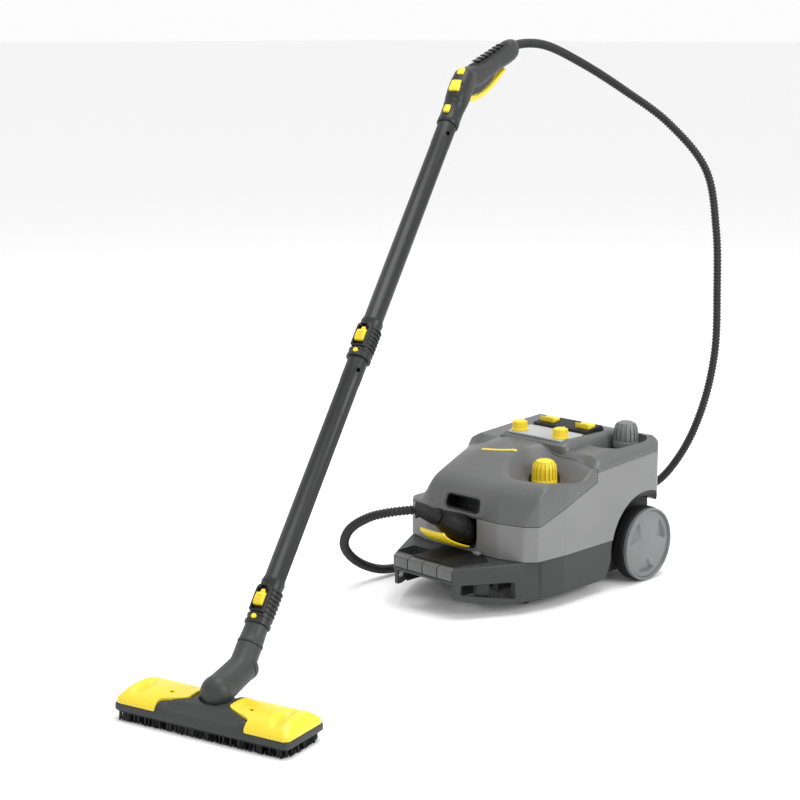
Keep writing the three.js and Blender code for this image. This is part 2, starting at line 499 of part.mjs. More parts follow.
// ---------------------------------------------------------------- nozzle
function addNozzle(lance) {
  const neckTop = LOW_COLLAR - COLLAR_LENGTH / 2 - GAP;
  add(lance, 'nozzle_neck', pipe(9, 15, NECK_START, neckTop, 'z', [0, 0, 0], 20), charcoal);
  add(lance, 'neck_clip', block(-5, 5, 15.4, 21, 60, 84), black);

  const nozzle = new THREE.Group();
  nozzle.position.set(NOZZLE.at[0], NOZZLE.at[1], 0);
  nozzle.rotation.z = THREE.MathUtils.degToRad(NOZZLE.turn);
  machine.add(nozzle);
  const w = NOZZLE.width / 2;
  const d = NOZZLE.depth / 2;
  const { brush, rim } = NOZZLE;
  const base = raise(rounded(2 * w, 2 * d, 9, 3), brush + GAP, rim);
  const hump = across([[-d + 10, rim - 2], [-d + 13, 34], [-30, 36], [-28, 31], [28, 31], [30, 36],
    [d - 13, 34], [d - 10, rim - 2]], -44, 44);
  const cheek = (x0, x1) => join(block(x0, x1, -20, 20, 28, BARREL.z),
    rod(20, x0, x1, 'x', [0, 0, BARREL.z], 24));
  const cheeks = [cheek(-42, -BARREL.length / 2 - 4.5), cheek(BARREL.length / 2 + 4.5, 42)];
  const journals = rod(9, -BARREL.length / 2 - 6, BARREL.length / 2 + 6, 'x', [0, 0, BARREL.z], 20);
  const flanks = [-1, 1].map((hand) => block(hand < 0 ? -w + 12 : 47, hand < 0 ? -47 : w - 12, -d + 9, d - 9,
    rim - 2, rim + 3));
  const reach = BARREL.length / 2 + 1;
  const room = rod(BARREL.radius + 1.5, -reach, reach, 'x', [0, 0, BARREL.z], 24);
  const body = cut(join(base, hump, ...cheeks, ...flanks), room, journals.subtract(room));
  add(nozzle, 'nozzle_body', body, charcoal);
  const ring = raise(rounded(2 * w - 6, 2 * d - 6, 7, 3), 0, brush).subtract(
    raise(rounded(2 * w - 46, 2 * d - 46, 4, 2), -1, brush + 1));
  add(nozzle, 'brush_strip', ring, black);
  const coverTop = [[-d + 1.5, rim + GAP], [-d + 6, 33], [-30, 43], [0, 47], [30, 43], [d - 6, 33],
    [d - 1.5, rim + GAP]];
  const coverSide = [...coverTop, [d - 8.4, rim + GAP], [d - 8.4, 32], [28, 39.5], [0, 43], [-28, 39.5],
    [-d + 8.4, 32], [-d + 8.4, rim + GAP]];
  const outer = w - 1.5;
  const coverPlans = [['right', [[-outer, -d], [-52, -d], [-46, -20], [-46, 20], [-52, d], [-outer, d]]],
    ['left', [[52, -d], [outer, -d], [outer, d], [52, d], [46, 20], [46, -20]]]];
  for (const [name, plan] of coverPlans) {
    const hand = name === 'left' ? 1 : -1;
    const roof = across(coverSide, -outer, outer).intersect(raise(plan, 0, 80));
    const endWall = across(coverTop, hand > 0 ? outer - 4 : -outer, hand > 0 ? outer : -outer + 4);
    add(nozzle, `cloth_clamp_${name}`, roof.add(endWall), yellow);
  }

  const swivel = new THREE.Group();
  swivel.position.set(0, 0, BARREL.z);
  nozzle.add(swivel);
  const barrel = rod(BARREL.radius, -BARREL.length / 2, BARREL.length / 2, 'x', [0, 0, 0], 24);
  const ears = rod(8.7, -BARREL.length / 2 - 3.8, BARREL.length / 2 + 3.8, 'x', [0, 0, 0], 20);
  nozzle.updateWorldMatrix(true, true);
  lance.updateWorldMatrix(true, true);
  const toSwivel = swivel.matrixWorld.clone().invert().multiply(lance.matrixWorld);
  const knuckle = new THREE.Vector3(0, 0, ELBOW_KNUCKLE).applyMatrix4(toSwivel);
  const arm = new THREE.CylinderGeometry(16, 17, knuckle.length(), 20).translate(0, knuckle.length() / 2, 0);
  const aim = new THREE.Quaternion().setFromUnitVectors(Y_AXIS, knuckle.clone().normalize());
  const ball = new THREE.SphereGeometry(16.4, 20, 12).translate(...knuckle.toArray());
  const stub = rod(15, ELBOW_KNUCKLE, NECK_START - GAP, 'z', [0, 0, 0], 20)
    .transform(toSwivel.elements.slice());
  const elbow = join(barrel, ears, toSolid(arm.applyQuaternion(aim)), toSolid(ball), stub);
  add(swivel, 'swivel_elbow', elbow, charcoal);
}

const lance = lanceFrame();
add(machine, 'base_pan', basePan(), charcoal);
addRunningGear();
addHousing();
addConsole();
addCaps();
addWorks();
addSocket();
addHose();
addTubes(lance);
addGun(lance);
addNozzle(lance);

export default steamCleaner;
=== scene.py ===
"""Looks of a commercial steam cleaner: canister machine, steam hose, gun, tubes and floor nozzle."""

import json
import math

import bmesh
import bpy
import numpy as np
from mathutils import Matrix, Vector


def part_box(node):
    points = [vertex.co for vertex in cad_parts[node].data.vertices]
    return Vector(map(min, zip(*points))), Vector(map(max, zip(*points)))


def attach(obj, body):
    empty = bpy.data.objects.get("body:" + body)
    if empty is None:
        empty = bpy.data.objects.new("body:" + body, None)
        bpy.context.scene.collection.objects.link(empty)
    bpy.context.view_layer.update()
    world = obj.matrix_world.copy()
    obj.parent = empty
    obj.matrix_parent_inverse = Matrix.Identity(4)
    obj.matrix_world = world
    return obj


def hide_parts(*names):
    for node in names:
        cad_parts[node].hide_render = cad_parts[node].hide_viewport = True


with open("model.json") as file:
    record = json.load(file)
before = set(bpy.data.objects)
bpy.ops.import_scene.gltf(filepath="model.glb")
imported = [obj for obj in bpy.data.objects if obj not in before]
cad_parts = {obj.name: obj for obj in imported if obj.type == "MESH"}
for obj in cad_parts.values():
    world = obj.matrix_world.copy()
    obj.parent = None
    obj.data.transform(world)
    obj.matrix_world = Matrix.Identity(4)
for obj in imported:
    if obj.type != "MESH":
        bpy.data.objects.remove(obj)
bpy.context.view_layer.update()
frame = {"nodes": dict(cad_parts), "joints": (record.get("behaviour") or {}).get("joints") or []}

bl_info = {
    "name": "Steam Cleaner",
    "version": (1, 0, 0),
    "blender": (4, 5, 0),
    "location": "View3D > Sidebar > Steam Cleaner",
    "description": "Builds the visible pieces of a commercial steam cleaner round its packed frame",
    "category": "Object",
}

MM = 0.001
JOINTS = {joint["name"]: joint for joint in frame["joints"]}


# ---------------------------------------------------------------- frames, each in millimetres
def basis(x_axis, y_axis, z_axis, origin):
    """Takes a piece drawn in millimetres along these axes into the row frame in metres."""
    matrix = Matrix((x_axis, y_axis, z_axis)).transposed().to_4x4()
    matrix.translation = origin
    return matrix @ Matrix.Scale(MM, 4)


def middle(node):
    low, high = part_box(node)
    return (low + high) / 2


def machine_frame():
    axle = middle("axle")
    return basis((1, 0, 0), (0, 1, 0), (0, 0, 1), Vector((axle.x, axle.y, 0)))


def lance_frame():
    along = Vector(JOINTS["elbow_turn"]["axis"]).normalized()
    sideways = Vector(JOINTS["trigger_squeeze"]["axis"]).normalized()
    foot = Vector(JOINTS["elbow_turn"]["pos_m"]) - along * ELBOW_AT * MM
    return basis(sideways, along.cross(sideways), along, foot)


def nozzle_frame():
    across = Vector(JOINTS["nozzle_tilt"]["axis"]).normalized()
    at = Vector(JOINTS["nozzle_tilt"]["pos_m"])
    return basis(across, Vector((0, 0, 1)).cross(across), (0, 0, 1), Vector((at.x, at.y, 0)))


def tilted(parent, degrees, at):
    """A frame at a point of its parent, turned about the parent's X axis."""
    return parent @ Matrix.Translation(at) @ Matrix.Rotation(math.radians(degrees), 4, "X")


ELBOW_AT = 50
GUN_HEAD = 1126
MACHINE = machine_frame()
LANCE = lance_frame()
NOZZLE = nozzle_frame()
GRIP = tilted(LANCE, -35, (0, 0, GUN_HEAD))
SOCKET = tilted(MACHINE, -28, (0, -290, 112))
FLAP = tilted(MACHINE, -25, (0, -310, 95.3))
FRONT = tilted(MACHINE, -17, (-1, -306.5, 169))
HOUSE_CENTRE = (0, -130)
HUB = (0, 0, 66)
SIDES = (("left", 1), ("right", -1))

CAMERA_AT = (1978.3, -2477.8, 950.0)
CAMERA_DOWN = 11.62
CAMERA_TURN = 44.457

HOSE_ROUTE = [(-157, -16, 919), (-166, 12, 925), (-178, 96, 923), (-182, 208, 890), (-163, 315, 838),
              (-117, 402, 772), (-64, 454, 683), (-36, 455, 569), (-17, 438, 451), (-8, 424, 333),
              (-27, 416, 222), (-78, 420, 118), (-148, 425, 42), (-215, 402, 12), (-253, 345, 9.2),
              (-256, 270, 9.2), (-238, 180, 9.2), (-212, 80, 9.2), (-192, -40, 9.2), (-183, -160, 9.2),
              (-184, -256, 9.4), (-186, -322, 17), (-181, -384, 46), (-160, -434, 89), (-119, -458, 132),
              (-72, -456, 161), (-38, -438, 172), (-15.3, -412.3, 175)]
BOOT_ROUTE = [(-1.2, -377, 158.3), (-3.4, -391, 166.5), (-8.6, -404.7, 174.6), (-14.5, -411.3, 175.1)]


# ---------------------------------------------------------------- sizes and colours a user may change
def colour(label, note, value):
    return bpy.props.FloatVectorProperty(name=label, description=note, subtype="COLOR", size=3, min=0,
                                         max=1, default=value)


def length(label, note, value):
    return bpy.props.FloatProperty(name=label, description=note, default=value, min=0.0001, unit="LENGTH")


class CleanerColours(bpy.types.PropertyGroup):
    """Colours of the mouldings."""
    shell: colour("Side shell", "Mid grey of the side shell", (0.160, 0.161, 0.162))
    hood: colour("Front hood", "Darker grey of the front hood", (0.086, 0.087, 0.088))
    panel: colour("Control panel", "Light grey of the control panel", (0.36, 0.365, 0.37))
    dark: colour("Charcoal", "Charcoal of the base, tubes and gun", (0.022, 0.0235, 0.023))
    black: colour("Black", "Black of the plug, bristles and tyres", (0.006, 0.006, 0.0065))
    yellow: colour("Yellow", "Signal yellow of everything that is pressed or turned", (0.74, 0.56, 0.018))
    disc: colour("Wheel disc", "Light grey of the wheel discs", (0.138, 0.140, 0.142))


class CleanerSizes(bpy.types.PropertyGroup):
    """Sizes that a user may change."""
    hose_diameter: length("Hose diameter", "Over the corrugations", 0.0165)
    hose_pitch: length("Hose pitch", "From one corrugation to the next", 0.0064)
    hose_depth: length("Hose groove", "Depth of the corrugations", 0.0018)
    grip_ribs: bpy.props.IntProperty(name="Collar ribs", description="Ribs on each collar", default=6,
                                     min=1)
    cap_ribs: bpy.props.IntProperty(name="Cap ribs", description="Ribs round a screw cap", default=18,
                                    min=3)
    dial_ribs: bpy.props.IntProperty(name="Dial ribs", description="Ribs round a dial", default=20, min=3)
    tufts: bpy.props.IntProperty(name="Tufts", description="Bristle tufts along a long side", default=44,
                                 min=2)


# ---------------------------------------------------------------- mesh helpers, millimetres in a local frame
def ring_faces(bm, first, second):
    count = len(first)
    for i in range(count):
        bm.faces.new((first[i], first[(i + 1) % count], second[(i + 1) % count], second[i]))


def loft(bm, rings, capped=True):
    """A skin over rings of equally many points, closed at both ends."""
    rows = [[bm.verts.new(point) for point in ring] for ring in rings]
    for first, second in zip(rows, rows[1:]):
        ring_faces(bm, first, second)
    if capped:
        bm.faces.new(rows[0][::-1])
        bm.faces.new(rows[-1])
    return rows


def lathe(bm, profile, segments=48, axis="Z", at=(0, 0, 0)):
    """A turned piece from (radius, height) pairs; a profile may start or end on the axis."""
    turn = {"Z": Matrix.Identity(3), "X": Matrix.Rotation(math.pi / 2, 3, "Y"),
            "Y": Matrix.Rotation(-math.pi / 2, 3, "X")}[axis]
    rows = []
    for radius, height in profile:
        if radius < 1e-6:
            rows.append([bm.verts.new(turn @ Vector((0, 0, height)) + Vector(at))])
            continue
        angles = [2 * math.pi * i / segments for i in range(segments)]
        rows.append([bm.verts.new(turn @ Vector((radius * math.cos(a), radius * math.sin(a), height))
                                  + Vector(at)) for a in angles])
    for first, second in zip(rows, rows[1:]):
        if len(first) == 1 and len(second) == 1:
            continue
        if len(first) == 1 or len(second) == 1:
            tip, rim = (first[0], second) if len(first) == 1 else (second[0], first)
            for i in range(segments):
                bm.faces.new((tip, rim[i], rim[(i + 1) % segments]))
        else:
            ring_faces(bm, first, second)


def prism(bm, outline, low, high, plane="XY"):
    """An outline raised along the axis that its plane leaves out."""
    order = {"XY": lambda a, b, h: (a, b, h), "YZ": lambda a, b, h: (h, a, b), "XZ": lambda a, b,
             h: (a, h, b)}
    place = order[plane]
    loft(bm, [[place(a, b, height) for a, b in outline] for height in (low, high)])


def brick(bm, low, high):
    prism(bm, [(low[0], low[1]), (high[0], low[1]), (high[0], high[1]), (low[0], high[1])], low[2], high[2])


def filleted(corners, steps=4):
    """A closed outline from (x, y, radius) corners."""
    points = []
    count = len(corners)
    for i, (x, y, radius) in enumerate(corners):
        here = Vector((x, y))
        before = Vector(corners[i - 1][:2]) - here
        after = Vector(corners[(i + 1) % count][:2]) - here
        if radius <= 0:
            points.append((x, y))
            continue
        half = before.angle(after) / 2
        run = min(radius / math.tan(half), 0.48 * before.length, 0.48 * after.length)
        start, end = here + before.normalized() * run, here + after.normalized() * run
        for step in range(steps + 1):
            t = step / steps
            points.append(tuple((1 - t) ** 2 * start + 2 * t * (1 - t) * here + t * t * end))
    return points


def rounded(width, depth, radius, cx=0.0, cy=0.0, steps=4):
    w, d = width / 2, depth / 2
    corners = [(cx + w, cy - d, radius), (cx + w, cy + d, radius), (cx - w, cy + d, radius),
               (cx - w, cy - d, radius)]
    return filleted(corners, steps)


def superellipse(half_width, half_height, power=2.6, count=32):
    points = []
    for i in range(count):
        angle = 2 * math.pi * i / count
        c, s = math.cos(angle), math.sin(angle)
        points.append((math.copysign(abs(c) ** (2 / power), c) * half_width,
                       math.copysign(abs(s) ** (2 / power), s) * half_height))
    return points


def soften(bm, width=1.2, segments=2, angle=32):
    """Rounds every edge sharper than the angle."""
    bmesh.ops.recalc_face_normals(bm, faces=bm.faces)
    sharp = [e for e in bm.edges if e.is_manifold and e.calc_face_angle(0) > math.radians(angle)]
    bmesh.ops.bevel(bm, geom=sharp, offset=width, segments=segments, profile=0.5, affect="EDGES",
                    clamp_overlap=True)


def closed(build):
    """A bmesh filled by a function, with its doubles merged and its faces outwards."""
    bm = bmesh.new()
    build(bm)
    bmesh.ops.remove_doubles(bm, verts=bm.verts, dist=1e-4)
    bmesh.ops.recalc_face_normals(bm, faces=bm.faces)
    return bm


def skinned(rings):
    """A closed skin over rings."""
    return closed(lambda bm: loft(bm, rings))


def turning(profile, segments=48, axis="Z", at=(0, 0, 0)):
    """A closed turned piece."""
    return closed(lambda bm: lathe(bm, profile, segments, axis, at))


def slab(outline, low, high, plane="XY"):
    """A closed prism on an outline."""
    return closed(lambda bm: prism(bm, outline, low, high, plane))


def cuboid(low, high):
    """A closed block between two corners."""
    return closed(lambda bm: brick(bm, low, high))


def add_mesh(bm, other):
    """Adds a second body to the first."""
    mesh = bpy.data.meshes.new("added")
    other.to_mesh(mesh)
    other.free()
    bm.from_mesh(mesh)
    bpy.data.meshes.remove(mesh)


def taken(mesh):
    """A bmesh made of a mesh that isn't needed any more, all in one finish."""
    bm = bmesh.new()
    bm.from_mesh(mesh)
    bpy.data.meshes.remove(mesh)
    for face in bm.faces:
        face.material_index = 0
    return bm


def as_object(name, bm):
    mesh = bpy.data.meshes.new(name)
    bm.to_mesh(mesh)
    bm.free()
    piece = bpy.data.objects.new(name, mesh)
    bpy.context.scene.collection.objects.link(piece)
    return piece


def evaluated(piece, name):
    """The piece's mesh with its modifiers applied."""
    graph = bpy.context.evaluated_depsgraph_get()
    mesh = bpy.data.meshes.new_from_object(piece.evaluated_get(graph))
    mesh.name = name
    return mesh


def carved(bm, *tools, operation="DIFFERENCE"):
    """The body with each closed tool cut from it."""
    body = as_object("carving", bm)
    cutters = []
    for tool in tools:
        cutter = as_object("cutter", tool)
        cutters.append(cutter)
        step = body.modifiers.new("cut", "BOOLEAN")
        step.operation = operation
        step.solver = "EXACT"
        step.object = cutter
    mesh = evaluated(body, "carved")
    for thing in [body, *cutters]:
        bpy.data.objects.remove(thing)
    return taken(mesh)


def finish_piece(name, bm, place, finish, body, nodes=(), sharp=35):
    """Puts a drawn piece in the row frame, gives it its finish and hangs it on its body."""
    bm.transform(place)
    if place.determinant() < 0:
        bmesh.ops.reverse_faces(bm, faces=bm.faces)
    bmesh.ops.triangulate(bm, faces=[f for f in bm.faces if len(f.verts) > 4])
    piece = as_object(name, bm)
    piece.data.materials.append(FINISH[finish])
    piece.data.shade_smooth()
    piece.data.set_sharp_from_angle(angle=math.radians(sharp))
    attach(piece, body)
    if nodes:
        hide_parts(*nodes)
    return piece


# ---------------------------------------------------------------- Geometry Nodes
def new_tree(name):
    tree = bpy.data.node_groups.new(name, "GeometryNodeTree")
    tree.interface.new_socket("Geometry", in_out="INPUT", socket_type="NodeSocketGeometry")
    tree.interface.new_socket("Geometry", in_out="OUTPUT", socket_type="NodeSocketGeometry")
    return tree


def named_input(tree, label, kind, value=None):
    socket = tree.interface.new_socket(label, in_out="INPUT", socket_type=kind)
    if value is not None:
        socket.default_value = value
    return socket


def finish_tree(tree, geometry, material_socket, source):
    realize = tree.nodes.new("GeometryNodeRealizeInstances")
    paint = tree.nodes.new("GeometryNodeSetMaterial")
    out = tree.nodes.new("NodeGroupOutput")
    tree.links.new(geometry, realize.inputs[0])
    tree.links.new(realize.outputs[0], paint.inputs["Geometry"])
    tree.links.new(source.outputs[material_socket], paint.inputs["Material"])
    tree.links.new(paint.outputs[0], out.inputs[0])


def round_tree():
    """Copies a shape round a circle: a rib of a cap, dial or tyre."""
    tree = new_tree("ribs_round_a_circle")
    for label, kind, value in (("Count", "NodeSocketInt", 12), ("Shape", "NodeSocketObject", None),
                               ("Material", "NodeSocketMaterial", None)):
        named_input(tree, label, kind, value)
    source = tree.nodes.new("NodeGroupInput")
    circle = tree.nodes.new("GeometryNodeMeshCircle")
    circle.inputs["Radius"].default_value = 0.0001
    info = tree.nodes.new("GeometryNodeObjectInfo")
    index = tree.nodes.new("GeometryNodeInputIndex")
    divide = tree.nodes.new("ShaderNodeMath")
    divide.operation = "DIVIDE"
    turn = tree.nodes.new("ShaderNodeMath")
    turn.operation = "MULTIPLY"
    turn.inputs[1].default_value = 2 * math.pi
    vector = tree.nodes.new("ShaderNodeCombineXYZ")
    place = tree.nodes.new("GeometryNodeSetPosition")
    spread = tree.nodes.new("GeometryNodeInstanceOnPoints")
    join = tree.nodes.new("GeometryNodeJoinGeometry")
    link = tree.links.new
    link(source.outputs["Count"], circle.inputs["Vertices"])
    link(source.outputs["Shape"], info.inputs["Object"])
    link(index.outputs[0], divide.inputs[0])
    link(source.outputs["Count"], divide.inputs[1])
    link(divide.outputs[0], turn.inputs[0])
    link(turn.outputs[0], vector.inputs["Z"])
    link(circle.outputs[0], place.inputs["Geometry"])
    link(place.outputs[0], spread.inputs["Points"])
    link(info.outputs["Geometry"], spread.inputs["Instance"])
    link(vector.outputs[0], spread.inputs["Rotation"])
    link(source.outputs["Geometry"], join.inputs[0])
    link(spread.outputs[0], join.inputs[0])
    zero = tree.nodes.new("ShaderNodeCombineXYZ")
    link(zero.outputs[0], place.inputs["Position"])
    finish_tree(tree, join.outputs[0], "Material", source)
    return tree


def row_tree():
    """Copies a shape along a straight row: the ribs of a collar or a grip pad."""
    tree = new_tree("ribs_in_a_row")
    for label, kind, value in (("Count", "NodeSocketInt", 6), ("Pitch", "NodeSocketVector", None),
                               ("Shape", "NodeSocketObject", None),
                               ("Material", "NodeSocketMaterial", None)):
        named_input(tree, label, kind, value)
    source = tree.nodes.new("NodeGroupInput")
    line = tree.nodes.new("GeometryNodeMeshLine")
    info = tree.nodes.new("GeometryNodeObjectInfo")
    spread = tree.nodes.new("GeometryNodeInstanceOnPoints")
    join = tree.nodes.new("GeometryNodeJoinGeometry")
    link = tree.links.new
    link(source.outputs["Count"], line.inputs["Count"])
    link(source.outputs["Pitch"], line.inputs["Offset"])
    link(source.outputs["Shape"], info.inputs["Object"])
    link(line.outputs[0], spread.inputs["Points"])
    link(info.outputs["Geometry"], spread.inputs["Instance"])
    link(source.outputs["Geometry"], join.inputs[0])
    link(spread.outputs[0], join.inputs[0])
    finish_tree(tree, join.outputs[0], "Material", source)
    return tree


def point_tree():
    """Copies a shape onto every point of a mesh, each turned a little: bristle tufts."""
    tree = new_tree("tufts_on_points")
    for label, kind, value in (("Shape", "NodeSocketObject", None), ("Lean", "NodeSocketFloat", 0.1),
                               ("Seed", "NodeSocketInt", 7), ("Material", "NodeSocketMaterial", None)):
        named_input(tree, label, kind, value)
    source = tree.nodes.new("NodeGroupInput")
    info = tree.nodes.new("GeometryNodeObjectInfo")
    spin = tree.nodes.new("FunctionNodeRandomValue")
    spin.data_type = "FLOAT_VECTOR"
    low = tree.nodes.new("ShaderNodeCombineXYZ")
    high = tree.nodes.new("ShaderNodeCombineXYZ")
    negative = tree.nodes.new("ShaderNodeMath")
    negative.operation = "MULTIPLY"
    negative.inputs[1].default_value = -1
    spread = tree.nodes.new("GeometryNodeInstanceOnPoints")
    link = tree.links.new
    link(source.outputs["Lean"], negative.inputs[0])
    for side, value in ((low, negative.outputs[0]), (high, source.outputs["Lean"])):
        link(value, side.inputs["X"])
        link(value, side.inputs["Y"])
    high.inputs["Z"].default_value = 2 * math.pi
    vector_inputs = [s for s in spin.inputs if s.type == "VECTOR"]
    link(low.outputs[0], vector_inputs[0])
    link(high.outputs[0], vector_inputs[1])
    link(source.outputs["Seed"], spin.inputs["Seed"])
    link(source.outputs["Shape"], info.inputs["Object"])
    link(source.outputs["Geometry"], spread.inputs["Points"])
    link(info.outputs["Geometry"], spread.inputs["Instance"])
    link([s for s in spin.outputs if s.type == "VECTOR"][0], spread.inputs["Rotation"])
    finish_tree(tree, spread.outputs[0], "Material", source)
    return tree


def hose_tree():
    """A corrugated tube along a curve."""
    tree = new_tree("corrugated_hose")
    for label, kind, value in (("Radius", "NodeSocketFloat", 0.008), ("Groove", "NodeSocketFloat", 0.001),
                               ("Corrugations", "NodeSocketInt", 400), ("Sides", "NodeSocketInt", 16),
                               ("Material", "NodeSocketMaterial", None)):
        named_input(tree, label, kind, value)
    source = tree.nodes.new("NodeGroupInput")
    samples = tree.nodes.new("ShaderNodeMath")
    samples.operation = "MULTIPLY"
    samples.inputs[1].default_value = 6
    resample = tree.nodes.new("GeometryNodeResampleCurve")
    index = tree.nodes.new("GeometryNodeInputIndex")
    phase = tree.nodes.new("ShaderNodeMath")
    phase.operation = "MULTIPLY"
    phase.inputs[1].default_value = 2 * math.pi / 6
    wave = tree.nodes.new("ShaderNodeMath")
    wave.operation = "COSINE"
    depth = tree.nodes.new("ShaderNodeMath")
    depth.operation = "MULTIPLY_ADD"
    depth.inputs[1].default_value = 0.5
    depth.inputs[2].default_value = -0.5
    drop = tree.nodes.new("ShaderNodeMath")
    drop.operation = "MULTIPLY"
    size = tree.nodes.new("ShaderNodeMath")
    size.operation = "ADD"
    profile = tree.nodes.new("GeometryNodeCurvePrimitiveCircle")
    profile.inputs["Radius"].default_value = 1
    scale = tree.nodes.new("GeometryNodeSetCurveRadius")
    tube = tree.nodes.new("GeometryNodeCurveToMesh")
    tube.inputs["Fill Caps"].default_value = True
    smooth = tree.nodes.new("GeometryNodeSetShadeSmooth")
    link = tree.links.new
    link(source.outputs["Corrugations"], samples.inputs[0])
    link(source.outputs["Geometry"], resample.inputs["Curve"])
    link(samples.outputs[0], resample.inputs["Count"])
    link(index.outputs[0], phase.inputs[0])
    link(phase.outputs[0], wave.inputs[0])
    link(wave.outputs[0], depth.inputs[0])
    link(depth.outputs[0], drop.inputs[0])
    link(source.outputs["Groove"], drop.inputs[1])
    link(source.outputs["Radius"], size.inputs[0])
    link(drop.outputs[0], size.inputs[1])
    link(resample.outputs[0], scale.inputs["Curve"])
    link(size.outputs[0], scale.inputs["Radius"])
    link(source.outputs["Sides"], profile.inputs["Resolution"])
    link(scale.outputs[0], tube.inputs["Curve"])
    link(profile.outputs[0], tube.inputs["Profile Curve"])
    link(size.outputs[0], tube.inputs["Scale"])
    link(tube.outputs[0], smooth.inputs["Geometry"])
    finish_tree(tree, smooth.outputs[0], "Material", source)
    return tree


def grown(piece, tree, name, **values):
    """Runs a tree on an object and returns its result as a new bmesh."""
    step = piece.modifiers.new("grow", "NODES")
    step.node_group = tree
    sockets = {item.name: item.identifier for item in tree.interface.items_tree if item.in_out == "INPUT"}
    for label, value in values.items():
        step[sockets[label]] = value
    mesh = evaluated(piece, name)
    bpy.data.objects.remove(piece)
    return taken(mesh)


def with_copies(bm, shape, tree, finish, **values):
    """The body together with copies of a small shape, spread by a tree."""
    body = as_object("body", bm)
    small = as_object("small", shape)
    result = grown(body, tree, "with_copies", Shape=small, Material=FINISH[finish], **values)
    bpy.data.objects.remove(small)
    return result


# ---------------------------------------------------------------- finishes
GRAIN_SCALE = 900


def moulded(name, base, roughness, grain=0.00008, mottle=0.06, scuff=0.08, coat=0.0, metallic=0.0,
            streak=(1, 1, 1), gloss=0.5):
    """Moulded plastic: a fine grain, slow changes of tone and light scuffs in the gloss."""
    material = bpy.data.materials.new(name)
    material.use_nodes = True
    nodes, link = material.node_tree.nodes, material.node_tree.links.new
    shader = nodes["Principled BSDF"]
    where = nodes.new("ShaderNodeTexCoord")
    tone = nodes.new("ShaderNodeTexNoise")
    tone.inputs["Scale"].default_value = 14
    tone.inputs["Detail"].default_value = 5
    ramp = nodes.new("ShaderNodeValToRGB")
    ramp.color_ramp.elements[0].position = 0.3
    ramp.color_ramp.elements[1].position = 0.7
    ramp.color_ramp.elements[0].color = (*[c * (1 - mottle) for c in base], 1)
    ramp.color_ramp.elements[1].color = (*[min(1, c * (1 + mottle)) for c in base], 1)
    link(where.outputs["Object"], tone.inputs["Vector"])
    link(tone.outputs["Fac"], ramp.inputs["Fac"])
    link(ramp.outputs["Color"], shader.inputs["Base Color"])
    rub = nodes.new("ShaderNodeTexNoise")
    rub.inputs["Scale"].default_value = 55
    rub.inputs["Detail"].default_value = 8
    rub.inputs["Roughness"].default_value = 0.7
    spread = nodes.new("ShaderNodeMapRange")
    spread.inputs["To Min"].default_value = max(0.05, roughness - scuff)
    spread.inputs["To Max"].default_value = min(1, roughness + scuff)
    stretch = nodes.new("ShaderNodeMapping")
    stretch.inputs["Scale"].default_value = streak
    link(where.outputs["Object"], stretch.inputs["Vector"])
    link(stretch.outputs["Vector"], rub.inputs["Vector"])
    link(rub.outputs["Fac"], spread.inputs["Value"])
    link(spread.outputs["Result"], shader.inputs["Roughness"])
    pebbles = nodes.new("ShaderNodeTexNoise")
    pebbles.inputs["Scale"].default_value = GRAIN_SCALE
    pebbles.inputs["Detail"].default_value = 3
    bump = nodes.new("ShaderNodeBump")
    bump.inputs["Strength"].default_value = 0.35
    bump.inputs["Distance"].default_value = grain
    link(where.outputs["Object"], pebbles.inputs["Vector"])
    link(pebbles.outputs["Fac"], bump.inputs["Height"])
    link(bump.outputs["Normal"], shader.inputs["Normal"])
    shader.inputs["Metallic"].default_value = metallic
    shader.inputs["Specular IOR Level"].default_value = gloss
    if coat:
        shader.inputs["Coat Weight"].default_value = coat
        shader.inputs["Coat Roughness"].default_value = 0.25
    return material


FINISH = {}


def mix_finishes(colours):
    """One finish for each kind of moulding."""
    FINISH["shell"] = moulded("shell_plastic", colours.shell, 0.42)
    FINISH["hood"] = moulded("hood_plastic", colours.hood, 0.40)
    FINISH["panel"] = moulded("panel_plastic", colours.panel, 0.40)
    FINISH["dark"] = moulded("charcoal_plastic", [c * 1.5 for c in colours.dark], 0.45, grain=0.0001,
                             gloss=0.3)
    FINISH["gun"] = moulded("gun_plastic", [c * 0.7 for c in colours.dark], 0.38, grain=0.0001, gloss=0.3)
    # The tubes keep the charcoal colour but darkened to 45%: the darkening is painted shade, in place of
    # dark reflections.
    FINISH["tube"] = moulded("tube_plastic_painted_shade", [c * 0.45 for c in colours.dark], 0.38, grain=0.00004,
                             mottle=0.1, gloss=0.35)
    FINISH["black"] = moulded("black_plastic", colours.black, 0.5, grain=0.00012, gloss=0.25)
    FINISH["yellow"] = moulded("yellow_plastic", colours.yellow, 0.33, grain=0.00003, mottle=0.03,
                               coat=0.15)
    FINISH["disc"] = moulded("disc_plastic", colours.disc, 0.38)
    FINISH["rubber"] = moulded("tyre_rubber", colours.black, 0.72, grain=0.0002, scuff=0.12, gloss=0.25)
    FINISH["hose"] = moulded("hose_rubber", [c * 1.6 for c in colours.black], 0.42, grain=0.00006,
                             gloss=0.3)
    FINISH["bristle"] = moulded("nylon_bristle", [c * 0.8 for c in colours.black], 0.45, gloss=0.3)
    FINISH["steel"] = moulded("turned_steel", (0.56, 0.57, 0.58), 0.32, metallic=1.0, streak=(1, 1, 12))
    FINISH["brass"] = moulded("turned_brass", (0.50, 0.36, 0.12), 0.35, metallic=1.0)
    FINISH["tank"] = moulded("tank_plastic", (0.72, 0.73, 0.71), 0.45)
    FINISH["board"] = moulded("circuit_board", (0.02, 0.14, 0.06), 0.5)


